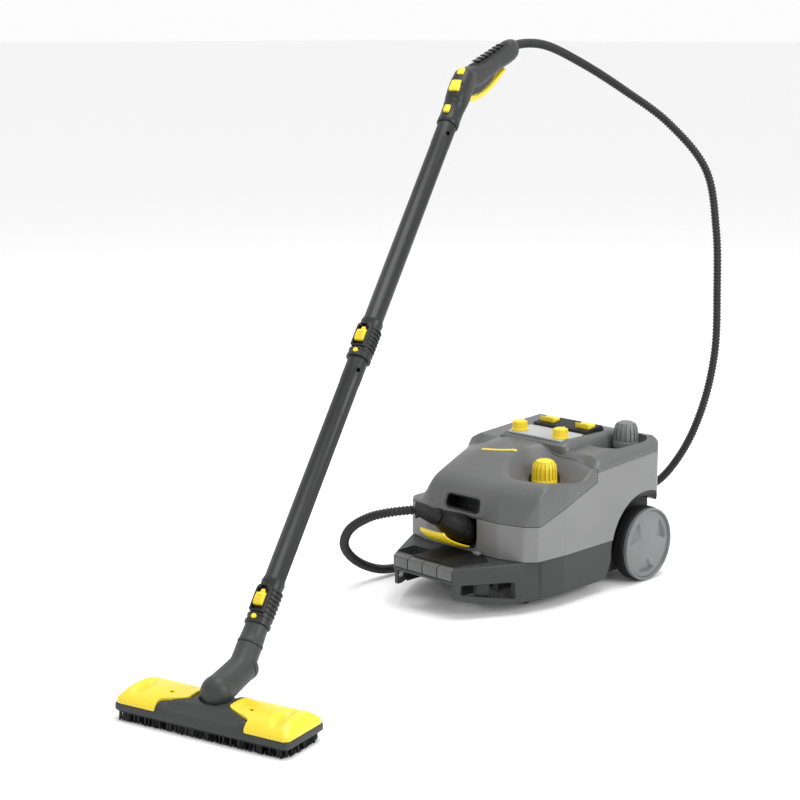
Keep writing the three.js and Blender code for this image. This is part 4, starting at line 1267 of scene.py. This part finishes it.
class CLEANER_OT_flap(bpy.types.Operator):
    """Makes the curved yellow flap under the plug"""
    bl_idname = "cleaner.flap"
    bl_label = "Socket flap"

    def execute(self, context):
        spine = through([(0, 1, 1.5), (0, -8, -2.0), (0, -24, -4.4), (0, -46, -5.0), (0, -62, -3.4),
                         (0, -73, 0.6), (0, -78, 6.6)], 5)
        count = 18
        rows = []
        for i, point in enumerate(spine):
            share = i / (len(spine) - 1)
            half = 30.5 + 1.5 * math.sin(math.pi * share) - 3.5 * share ** 3
            row = []
            for k in range(count + 1):
                u = 2 * k / count - 1
                lip = 4.2 * max(0, abs(u) - 0.72) / 0.28 * math.sin(math.pi * min(1, 0.15 + share * 0.8))
                row.append((u * half - 8, point.y, point.z + lip - 1))
            rows.append(row)

        def build(bm):
            grid = [[bm.verts.new(p) for p in row] for row in rows]
            for first, second in zip(grid, grid[1:]):
                for k in range(count):
                    bm.faces.new((first[k], first[k + 1], second[k + 1], second[k]))
            bmesh.ops.recalc_face_normals(bm, faces=bm.faces)
            bmesh.ops.solidify(bm, geom=bm.faces[:], thickness=2.4)
        bm = closed(build)
        soften(bm, 0.7, 2, 50)
        knuckle = turning([(1.9, -28), (3.4, -28), (3.4, 28), (1.9, 28), (1.9, -28)], 24, "X")
        add_mesh(bm, knuckle)
        finish_piece("socket_flap_moulding", bm, FLAP, "yellow", "socket_flap", ["socket_flap"])
        return {"FINISHED"}


class CLEANER_OT_tubes(bpy.types.Operator):
    """Makes the two extension tubes with their end slots"""
    bl_idname = "cleaner.tubes"
    bl_label = "Extension tubes"

    def execute(self, context):
        for node, start, end in (("lower_tube", 157.3, 542.7), ("upper_tube", 613.3, 1009.7)):
            profile = [(13, start), (16.6, start), (16.6, start + 3), (15.5, start + 5), (15.5, end - 42),
                       (15.9, end - 40), (15.9, end), (13, end), (13, start)]
            bm = turning(profile, 56)
            outline = [(12 + a, end - 22 + b) for a, b in superellipse(2.2, 4, 2.4, 20)]
            bm = carved(bm, slab(outline, -30, 0, "XZ"))
            key = cuboid((-2.4, 15.0, end - 60), (2.4, 17.4, end))
            soften(key, 0.6, 2)
            add_mesh(bm, key)
            finish_piece(node + "_moulding", bm, LANCE, "tube", "machine", [node])
        return {"FINISHED"}


class CLEANER_OT_collars(bpy.types.Operator):
    """Makes the two tube collars with ribs, latches and pins"""
    bl_idname = "cleaner.collars"
    bl_label = "Tube collars"

    def execute(self, context):
        ribs = context.scene.cleaner_sizes.grip_ribs
        for name, at in (("low", 122), ("mid", 578)):
            place = LANCE @ Matrix.Translation((0, 0, at))
            self.collar(name, place, ribs)
            self.latch(name, place)
            self.pin(name, place)
        return {"FINISHED"}

    @staticmethod
    def collar(name, place, ribs):
        profile = [(13, -35), (18.6, -35), (19.6, -34), (19.6, -30), (18.2, -29), (18.2, -24.4),
                   (19.4, -23.6), (19.4, -20.6), (17.2, -19.4), (16.6, 24), (17.2, 30), (17.8, 34),
                   (17, 35), (13, 35), (13, -35)]
        bm = turning(profile, 64)
        slide = cuboid((-8.6, -30, -16.6), (8.6, -14.4, 16.6))
        reach = cuboid((-4.8, -30, 10), (4.8, -15.4, 21.4))
        hole = turning([(0, 10), (4.6, 10), (4.6, 30), (0, 30)], 32, "Y", (0, -40, -27))
        cheeks = slab(filleted([(-12, -19, 3), (12, -19, 3), (12, 24, 9), (-12, 24, 9)]), -20.2, -12, "XZ")
        soften(cheeks, 1.0, 2)
        bm = carved(bm, cheeks, operation="UNION")
        bm = carved(bm, slide, reach, hole)
        rib = bmesh.new()
        sections = []
        steps = 22
        for i in range(steps + 1):
            angle = math.radians(-48 + 178 * i / steps)
            swell = math.sin(math.pi * i / steps) ** 0.35
            centre = Vector((math.cos(angle), math.sin(angle), 0))
            sections.append([tuple(centre * (17.0 + a * swell) + Vector((0, 0, b)))
                             for a, b in ((0, -1.9), (2.6, -1.2), (3.2, 0), (2.6, 1.2), (0, 1.9))])
        loft(rib, sections)
        bmesh.ops.recalc_face_normals(rib, faces=rib.faces)
        rib.transform(Matrix.Translation((0, 0, -15)))
        bm = with_copies(bm, rib, row_tree(), "gun", Count=ribs, Pitch=(0, 0, 7.0))
        finish_piece(name + "_collar_moulding", bm, place, "gun", "machine", [name + "_collar"])

    @staticmethod
    def latch(name, place):
        outline = [(-16.2, -10), (-21.5, -9.6), (-23.4, -6), (-23.6, 2), (-22.2, 8.6), (-20.4, 10),
                   (-16.2, 10)]
        bm = slab(outline, -7.8, 7.8, "YZ")
        soften(bm, 1.3, 3)
        tip = slab(filleted([(-4, 10, 0.5), (4, 10, 0.5), (3, 15.6, 2), (-3, 15.6, 2)]), -19.4, -16.2, "XZ")
        soften(tip, 0.5, 2)
        add_mesh(bm, tip)
        rib = cuboid((-5, -24.2, -5.4), (5, -22.6, -4.2))
        soften(rib, 0.4, 1)
        bm = with_copies(bm, rib, row_tree(), "yellow", Count=4, Pitch=(0, 0, 3.0))
        finish_piece(name + "_latch_slider", bm, place, "yellow", name + "_latch", [name + "_latch"])

    @staticmethod
    def pin(name, place):
        profile = [(0, 0), (4.0, 0), (4.0, 6.4), (3.2, 7.6), (0, 8.2)]
        bm = turning(profile, 32)
        tilt = place @ Matrix.Translation((0, -13, -27)) @ Matrix.Rotation(math.pi / 2, 4, "X")
        finish_piece(name + "_pin_button", bm, tilt, "yellow", name + "_pin", [name + "_pin"])


class CLEANER_OT_gun(bpy.types.Operator):
    """Makes the gun's body, its ridged grip pad, trigger and buttons"""
    bl_idname = "cleaner.gun"
    bl_label = "Steam gun"

    def execute(self, context):
        self.collar()
        self.body()
        self.pad()
        self.trigger()
        for node, half, low, high, top, foot in (("steam_button", 9, 1069, 1091, 24, 12.5),
                                                 ("lock_button", 6, 1105, 1119, 22.5, 13.5),
                                                 ("gun_release", 5, 1024, 1038, 23, 17.6)):
            self.button(node, half, low, high, top, foot)
        return {"FINISHED"}

    @staticmethod
    def collar():
        profile = [(13, 1010), (17.4, 1010), (18.6, 1012), (18.6, 1020), (18.0, 1022), (18.0, 1050),
                   (19, 1052), (19, 1055.6), (13, 1055.6), (13, 1010)]
        bm = turning(profile, 64)
        seat = cuboid((-5.6, -43, 1023.4), (5.6, -14.6, 1038.6))
        lug = cuboid((-3, 15, 1016), (3, 22, 1042))
        soften(lug, 1.2, 2)
        bm = carved(bm, seat)
        add_mesh(bm, lug)
        finish_piece("gun_collar_moulding", bm, LANCE, "gun", "machine", ["gun_collar"])

    @staticmethod
    def body():
        """Barrel and grip in one moulding, swept round the bend."""
        head = [(1056.3, 0, 18.2, 18.4, 2.2), (1062, -0.5, 18.6, 19.6, 2.4), (1075, -1, 18.4, 20.6, 2.8),
                (1100, -1, 17.8, 20.4, 3.0), (1114, -0.6, 17.2, 20.0, 2.8), (1122, 0.6, 16.0, 18.0, 2.6),
                (1128, 2.4, 13.6, 14.6, 2.4), (1131, 3.4, 9.4, 9.6, 2.2), (1131.8, 3.6, 4.0, 4.2, 2.0)]
        rings = [[(a, b + shift, s) for a, b in superellipse(w, h, power, 48)]
                 for s, shift, w, h, power in head]
        bm = skinned(rings)
        grip = [(-14, 8, 12.0, 12.0, 2.4), (-4, 9.5, 15.6, 17.6, 2.6), (10, 10.5, 16.4, 20.0, 2.6),
                (26, 11.5, 16.2, 20.4, 2.6), (50, 11.0, 15.8, 19.6, 2.6), (76, 9.0, 15.2, 18.2, 2.6),
                (104, 6.6, 14.9, 17.4, 2.5), (134, 4.6, 15.4, 17.8, 2.5), (160, 3.0, 16.2, 18.6, 2.5),
                (178, 1.4, 16.4, 18.6, 2.5), (190, 0.4, 15.2, 16.8, 2.4), (197, 0, 12.4, 13.2, 2.2),
                (199, 0, 9.6, 10.0, 2.0)]
        bend = LANCE.inverted() @ GRIP
        handle = skinned([[(a, b + shift, z) for a, b in superellipse(w, h, power, 48)]
                          for z, shift, w, h, power in grip])
        handle.transform(bend)
        web_outline = filleted([(4, -52, 4), (22, -40, 6), (36, -8, 10), (38, 26, 10), (31, 74, 10),
                                (20, 96, 4), (4, 90, 2)], 4)
        web = slab(web_outline, -11.6, 11.6, "YZ")
        soften(web, 3.4, 3)
        web.transform(bend)
        bm = carved(bm, handle, web, operation="UNION")
        seats = [cuboid((-half - 0.5, -44, low - 0.5), (half + 0.5, -foot, high + 0.5))
                 for half, low, high, foot in ((9, 1069, 1091, 8.9), (6, 1105, 1119, 10.9))]
        slot = slab([(18, -10), (70, -10), (70, 158), (1, 158), (1, 126), (18, 60)], -7.5, 7.5, "YZ")
        slot.transform(bend)
        bm = carved(bm, slot, *seats)
        finish_piece("gun_moulding", bm, LANCE, "gun", "machine", ["gun_shell"])

    @staticmethod
    def pad():
        """A soft inset along the back of the grip, with cross ridges."""
        rows = []
        stations = [(20, 4), (23, 7.5), (30, 10), (60, 11), (104, 10), (136, 10.8), (158, 10.2), (165, 7.6),
                    (168, 4)]
        for z, half in stations:
            back = np.interp(z, (10, 26, 50, 76, 104, 134, 160, 178),
                             (9.5, 8.9, 8.6, 9.2, 10.8, 13.2, 15.6, 17.2))
            row = []
            for k in range(9):
                u = k / 4 - 1
                row.append((u * half, -back - 1.2 + 3.6 * abs(u) ** 2.6 * (half / 11) ** 2, z))
            row += [(half * 0.8, -back + 6, z), (-half * 0.8, -back + 6, z)]
            rows.append(row)
        bm = skinned(rows)
        block = slab(filleted([(-6.8, 0, 1.6), (6.8, 0, 1.6), (6.8, 11.5, 1.6), (-6.8, 11.5, 1.6)], 3), 8.4,
                     10.0, "XZ")
        soften(block, 0.7, 2)
        block.transform(Matrix.Translation((0, -21.4, 36)))
        bm = with_copies(bm, block, row_tree(), "black", Count=7, Pitch=(0, -0.72, 17.0))
        finish_piece("grip_inset", bm, GRIP, "black", "machine", ["grip_pad"])

    @staticmethod
    def trigger():
        line = through([(0, 38, -8), (0, 44.5, 6), (0, 46.5, 34), (0, 44.5, 70), (0, 38, 104), (0, 31, 134),
                        (0, 28.5, 148)], 5)
        count = len(line)
        sections = []
        for i in range(count):
            share = i / (count - 1)
            depth = (6.4 - 3.0 * share) * min(1, 0.55 + share * 5)
            sections.append(superellipse(7.1 - 1.4 * share ** 3, depth, 3.2, 28))
        bm = skinned(along(line, sections))
        arm = slab(filleted([(16, 6, 2), (44, -2, 3), (44, 22, 4), (22, 18, 3)], 3), -5, 5, "YZ")
        soften(arm, 0.8, 2)
        add_mesh(bm, arm)
        finish_piece("trigger_lever", bm, GRIP, "yellow", "trigger", ["gun_trigger"])

    @staticmethod
    def button(node, half, low, high, top, foot):
        outline = filleted([(-half, low, 2.4), (half, low, 2.4), (half, high, half * 0.45),
                            (-half, high, half * 0.45)], 4)
        bm = slab(outline, -top, -foot, "XZ")
        soften(bm, 1.1, 3, 50)
        finish_piece(node + "_cap", bm, LANCE, "yellow", node, [node])


DOME = 22.4
DEPTH = 46.0
COVER_END = 146.5


def dome_height(x, y):
    """Height of the nozzle's domed top over its rim, for the yellow covers and the dark middle."""
    across = np.clip(1 - np.abs(y / (DEPTH - 1.2)) ** 2.5, 0, 1) ** 0.62
    end = np.clip(1 - np.clip((np.abs(x) - 126) / (COVER_END - 125.8), 0, 1) ** 2.4, 0, 1) ** 0.62
    return 28.2 + (DOME - 3.4) * across * (0.10 + 0.90 * end)


def cover_height(x, y):
    bend = (np.abs(x) - 116 - 0.006 * (y + 8) ** 2) / 6.6
    dent = np.exp(-(bend ** 2) - (((y + 10) / 19) ** 2) ** 1.6)
    swell = 1.6 * np.clip(1 - ((np.abs(x) - 36) / 10) ** 2, 0, 1)
    return dome_height(x, y) - 10.0 * dent + swell * np.clip(1 - (np.abs(y) / 30) ** 4, 0, 1)


class CLEANER_OT_nozzle(bpy.types.Operator):
    """Makes the floor nozzle's body, elbow, neck and yellow covers"""
    bl_idname = "cleaner.nozzle"
    bl_label = "Floor nozzle"

    def execute(self, context):
        self.body()
        for name, side in SIDES:
            self.cover(name, side)
        self.elbow()
        self.neck()
        return {"FINISHED"}

    @staticmethod
    def body():
        plan = rounded(296, 92, 9)
        rings = [[(x * s, y * t, z) for x, y in plan] for s, t, z in
                 ((0.985, 0.955, 14.3), (1, 1, 16.2), (1, 1, 23.4), (0.994, 0.985, 25))]
        base = skinned(rings)
        hump = closed(CLEANER_OT_nozzle.hump)
        bm = carved(base, hump, operation="UNION")
        room = turning([(0, -24.6), (16, -23), (24.2, -12), (24.2, 12), (16, 23), (0, 24.6)], 64, "X",
                       (0, 0, 55))
        slot = cuboid((-24, 4, 31), (24, 60, 90))
        bm = carved(bm, room, slot)
        finish_piece("nozzle_moulding", bm, NOZZLE, "dark", "nozzle", ["nozzle_body"])

    @staticmethod
    def hump(bm):
        xs = np.linspace(-78, 78, 53)
        ys = np.linspace(-45.4, 45.4, 37)
        top = []
        for y in ys:
            row = []
            for x in xs:
                z = float(dome_height(x, y)) - 0.6
                edge = 30 + 42 * np.clip((abs(y) - 16) / 20, 0, 1)
                z -= 3.4 * np.clip((abs(x) - edge) / 4, 0, 1)
                dish = np.clip((66 - abs(x)) / 5, 0, 1) * np.clip((y + 44.0) / 3, 0,
                                                                  1) * np.clip((-27 - y) / 7, 0, 1)
                z -= 3.0 * dish
                row.append(bm.verts.new((x, y, z)))
            top.append(row)
        low = [[bm.verts.new((v.co.x, v.co.y, 22)) for v in row] for row in top]
        for grid, flip in ((top, False), (low, True)):
            for first, second in zip(grid, grid[1:]):
                for i in range(len(xs) - 1):
                    quad = (first[i], first[i + 1], second[i + 1], second[i])
                    bm.faces.new(quad[::-1] if flip else quad)
        for first, second in ((top[0], low[0]), (top[-1], low[-1]),
                              ([r[0] for r in top], [r[0] for r in low]),
                              ([r[-1] for r in top], [r[-1] for r in low])):
            for i in range(len(first) - 1):
                bm.faces.new((first[i], first[i + 1], second[i + 1], second[i]))

    @staticmethod
    def cover(name, side):
        rows, columns = 48, 56
        sheet = []
        for j in range(rows + 1):
            v = 2 * j / rows - 1
            y = (DEPTH - 1.5) * math.copysign(1 - (1 - abs(v)) ** 1.5, v)
            step = np.clip((abs(y) - 15) / 21, 0, 1)
            inner = 34 + (76 - 34) * step * step * step * (step * (6 * step - 15) + 10)
            corner = 8 * np.clip((abs(y) - 36) / 9, 0, 1) ** 2.2
            outer = COVER_END - corner
            row = []
            for i in range(columns + 1):
                u = i / columns
                x = inner + (outer - inner) * (1 - (1 - u) ** 1.35)
                row.append((side * x, y, float(cover_height(x, y))))
            sheet.append(row)

        def build(bm):
            grid = [[bm.verts.new(p) for p in row] for row in sheet]
            for first, second in zip(grid, grid[1:]):
                for i in range(columns):
                    bm.faces.new((first[i], first[i + 1], second[i + 1], second[i]))
            outline = grid[0] + [r[-1] for r in grid[1:]] + grid[-1][-2::-1] + [r[0] for r in grid[-2:0:-1]]
            skirt = [bm.verts.new((v.co.x, v.co.y,
                                   25.5 if abs(v.co.x) > 60 or abs(v.co.y) > 34 else v.co.z - 4))
                     for v in outline]
            ring_faces(bm, outline, skirt)
            bmesh.ops.recalc_face_normals(bm, faces=bm.faces)
            tallest = max(bm.faces, key=lambda f: f.calc_center_median().z)
            if tallest.normal.z < 0:
                bmesh.ops.reverse_faces(bm, faces=bm.faces)
            bmesh.ops.solidify(bm, geom=bm.faces[:], thickness=2.0)
        bm = closed(build)
        window = cuboid((side * 68 - 3.2, -15.8, 30), (side * 68 + 3.2, -11.4, 60))
        finish_piece(f"cover_{name}", carved(bm, window), NOZZLE, "yellow", f"clamp_{name}",
                     [f"cloth_clamp_{name}"], sharp=42)

    @staticmethod
    def elbow():
        """A ball-ended arm from the nozzle's barrel up to the turning ring."""
        swivel = NOZZLE.inverted() @ LANCE
        start = Vector((0, 0, 55))
        end = swivel @ Vector((0, 8, 31))
        stations = [(0.0, 22.8), (0.3, 22.0), (0.6, 21.5), (0.9, 21.4), (0.91, 22.3), (1.0, 22.3),
                    (1.02, 21.4)]
        line = [start.lerp(end, share) for share, radius in stations]
        sections = [superellipse(radius, radius, 2, 64) for share, radius in stations]
        bm = skinned(along(line, sections))
        stub = turning([(0, 18), (18.6, 18), (18.6, 54), (17.8, 56.6), (0, 56.6)], 64)
        stub.transform(swivel)
        bm = carved(bm, stub, operation="UNION")
        ball = bmesh.new()
        bmesh.ops.create_uvsphere(ball, u_segments=64, v_segments=32, radius=23.6)
        ball.transform(Matrix.Translation(start))
        bm = carved(bm, ball, operation="UNION")
        finish_piece("elbow_moulding", bm, NOZZLE, "dark", "elbow", ["swivel_elbow"])

    @staticmethod
    def neck():
        profile = [(9, 57.2), (18.6, 57.2), (19.2, 58.4), (19.2, 60.4), (18.2, 62.4), (17.4, 74),
                   (16.9, 86.6), (9, 86.6), (9, 57.2)]
        bm = turning(profile, 56)
        finish_piece("neck_moulding", bm, LANCE, "dark", "machine", ["nozzle_neck"])
        clip = slab(filleted([(20.6, 58, 1), (25, 56, 1.5), (26, 84, 2), (22.4, 86, 1), (21.6, 66, 1)], 3),
                    -4.6, 4.6, "YZ")
        foot = cuboid((-4, 15, 66), (4, 23, 72))
        add_mesh(clip, foot)
        soften(clip, 0.7, 2)
        finish_piece("neck_clip_moulding", clip, LANCE, "black", "machine", ["neck_clip"])


class CLEANER_OT_brush(bpy.types.Operator):
    """Makes the brush: a carrier strip and rows of bristle tufts"""
    bl_idname = "cleaner.brush"
    bl_label = "Brush"

    def execute(self, context):
        count = context.scene.cleaner_sizes.tufts
        points = bmesh.new()
        for y in (-40.5, -34, -27.5, 27.5, 34, 40.5):
            for i in range(count):
                shift = 0.25 if abs(y) == 34 else -0.25
                points.verts.new(((i + 0.5 + shift) / count * 280 - 140, y, 13.6))
        for x in (-141, -134.5, 134.5, 141):
            for i in range(9):
                points.verts.new((x, (i - 4) * 6.6, 13.6))
        rows = as_object("rows", points)
        tuft = as_object("tuft", self.tuft())
        bm = grown(rows, point_tree(), "tufts", Shape=tuft, Lean=0.07, Seed=11, Material=FINISH["bristle"])
        bpy.data.objects.remove(tuft)
        outer = slab(rounded(288, 86, 7), 12.6, 14.2)
        add_mesh(bm, outer)
        finish_piece("brush_tufts", bm, NOZZLE, "bristle", "nozzle", ["brush_strip"], sharp=60)
        return {"FINISHED"}

    @staticmethod
    def tuft():
        """A pinch of splayed bristles that hang down from the strip."""
        bm = bmesh.new()
        for k in range(7):
            angle = k * 2.39996
            out = 1.7 * math.sqrt(k / 6)
            foot = Vector((math.cos(angle) * out, math.sin(angle) * out, 0))
            tip = Vector((foot.x * 1.45, foot.y * 1.45, -13.3 + 0.5 * (k % 3)))
            loft(bm, [[foot + Vector((0.9 * math.cos(a), 0.9 * math.sin(a), 0)) for a in (0, 2.1, 4.2)],
                      [tip + Vector((0.75 * math.cos(a), 0.75 * math.sin(a), 0)) for a in (0, 2.1, 4.2)]])
        bmesh.ops.recalc_face_normals(bm, faces=bm.faces)
        return bm


class CLEANER_OT_kept(bpy.types.Operator):
    """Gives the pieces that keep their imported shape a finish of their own"""
    bl_idname = "cleaner.kept"
    bl_label = "Kept pieces"

    finishes = {"axle": "steel", "boiler": "steel", "boiler_neck": "brass", "heating_element": "steel",
                "water_tank": "tank", "feed_pump": "black", "steam_valve": "brass", "steam_pipe": "steel",
                "feed_pipe": "tank", "control_board": "board", "cable_gland": "black", "flap_pin": "steel",
                "trigger_pin": "steel", "caster_fork_left": "dark", "caster_fork_right": "dark",
                "caster_wheel_left": "rubber", "caster_wheel_right": "rubber"}

    def execute(self, context):
        for node, finish in self.finishes.items():
            mesh = frame["nodes"][node].data
            mesh.materials.clear()
            mesh.materials.append(FINISH[finish])
        return {"FINISHED"}


class CLEANER_PT_panel(bpy.types.Panel):
    """Lists the cleaner's parts in the sidebar"""
    bl_idname = "CLEANER_PT_panel"
    bl_label = "Steam Cleaner"
    bl_space_type = "VIEW_3D"
    bl_region_type = "UI"
    bl_category = "Steam Cleaner"

    def draw(self, context):
        for group in (context.scene.cleaner_sizes, context.scene.cleaner_colours):
            for name in group.__annotations__:
                self.layout.prop(group, name)
        for operator in OPERATORS:
            self.layout.operator(operator.bl_idname)


OPERATORS = (CLEANER_OT_stage, CLEANER_OT_hose, CLEANER_OT_housing, CLEANER_OT_base, CLEANER_OT_nose_trim,
             CLEANER_OT_console, CLEANER_OT_caps, CLEANER_OT_wheels, CLEANER_OT_flap, CLEANER_OT_tubes,
             CLEANER_OT_collars, CLEANER_OT_gun, CLEANER_OT_nozzle, CLEANER_OT_brush, CLEANER_OT_kept)
CLASSES = (CleanerColours, CleanerSizes, *OPERATORS, CLEANER_PT_panel)


def register():
    for item in CLASSES:
        bpy.utils.register_class(item)
    bpy.types.Scene.cleaner_colours = bpy.props.PointerProperty(type=CleanerColours)
    bpy.types.Scene.cleaner_sizes = bpy.props.PointerProperty(type=CleanerSizes)


def unregister():
    del bpy.types.Scene.cleaner_sizes
    del bpy.types.Scene.cleaner_colours
    for item in reversed(CLASSES):
        bpy.utils.unregister_class(item)


def main():
    register()
    mix_finishes(bpy.context.scene.cleaner_colours)
    for operator in OPERATORS:
        group, name = operator.bl_idname.split(".")
        getattr(getattr(bpy.ops, group), name)()


if __name__ == "__main__":
    main()
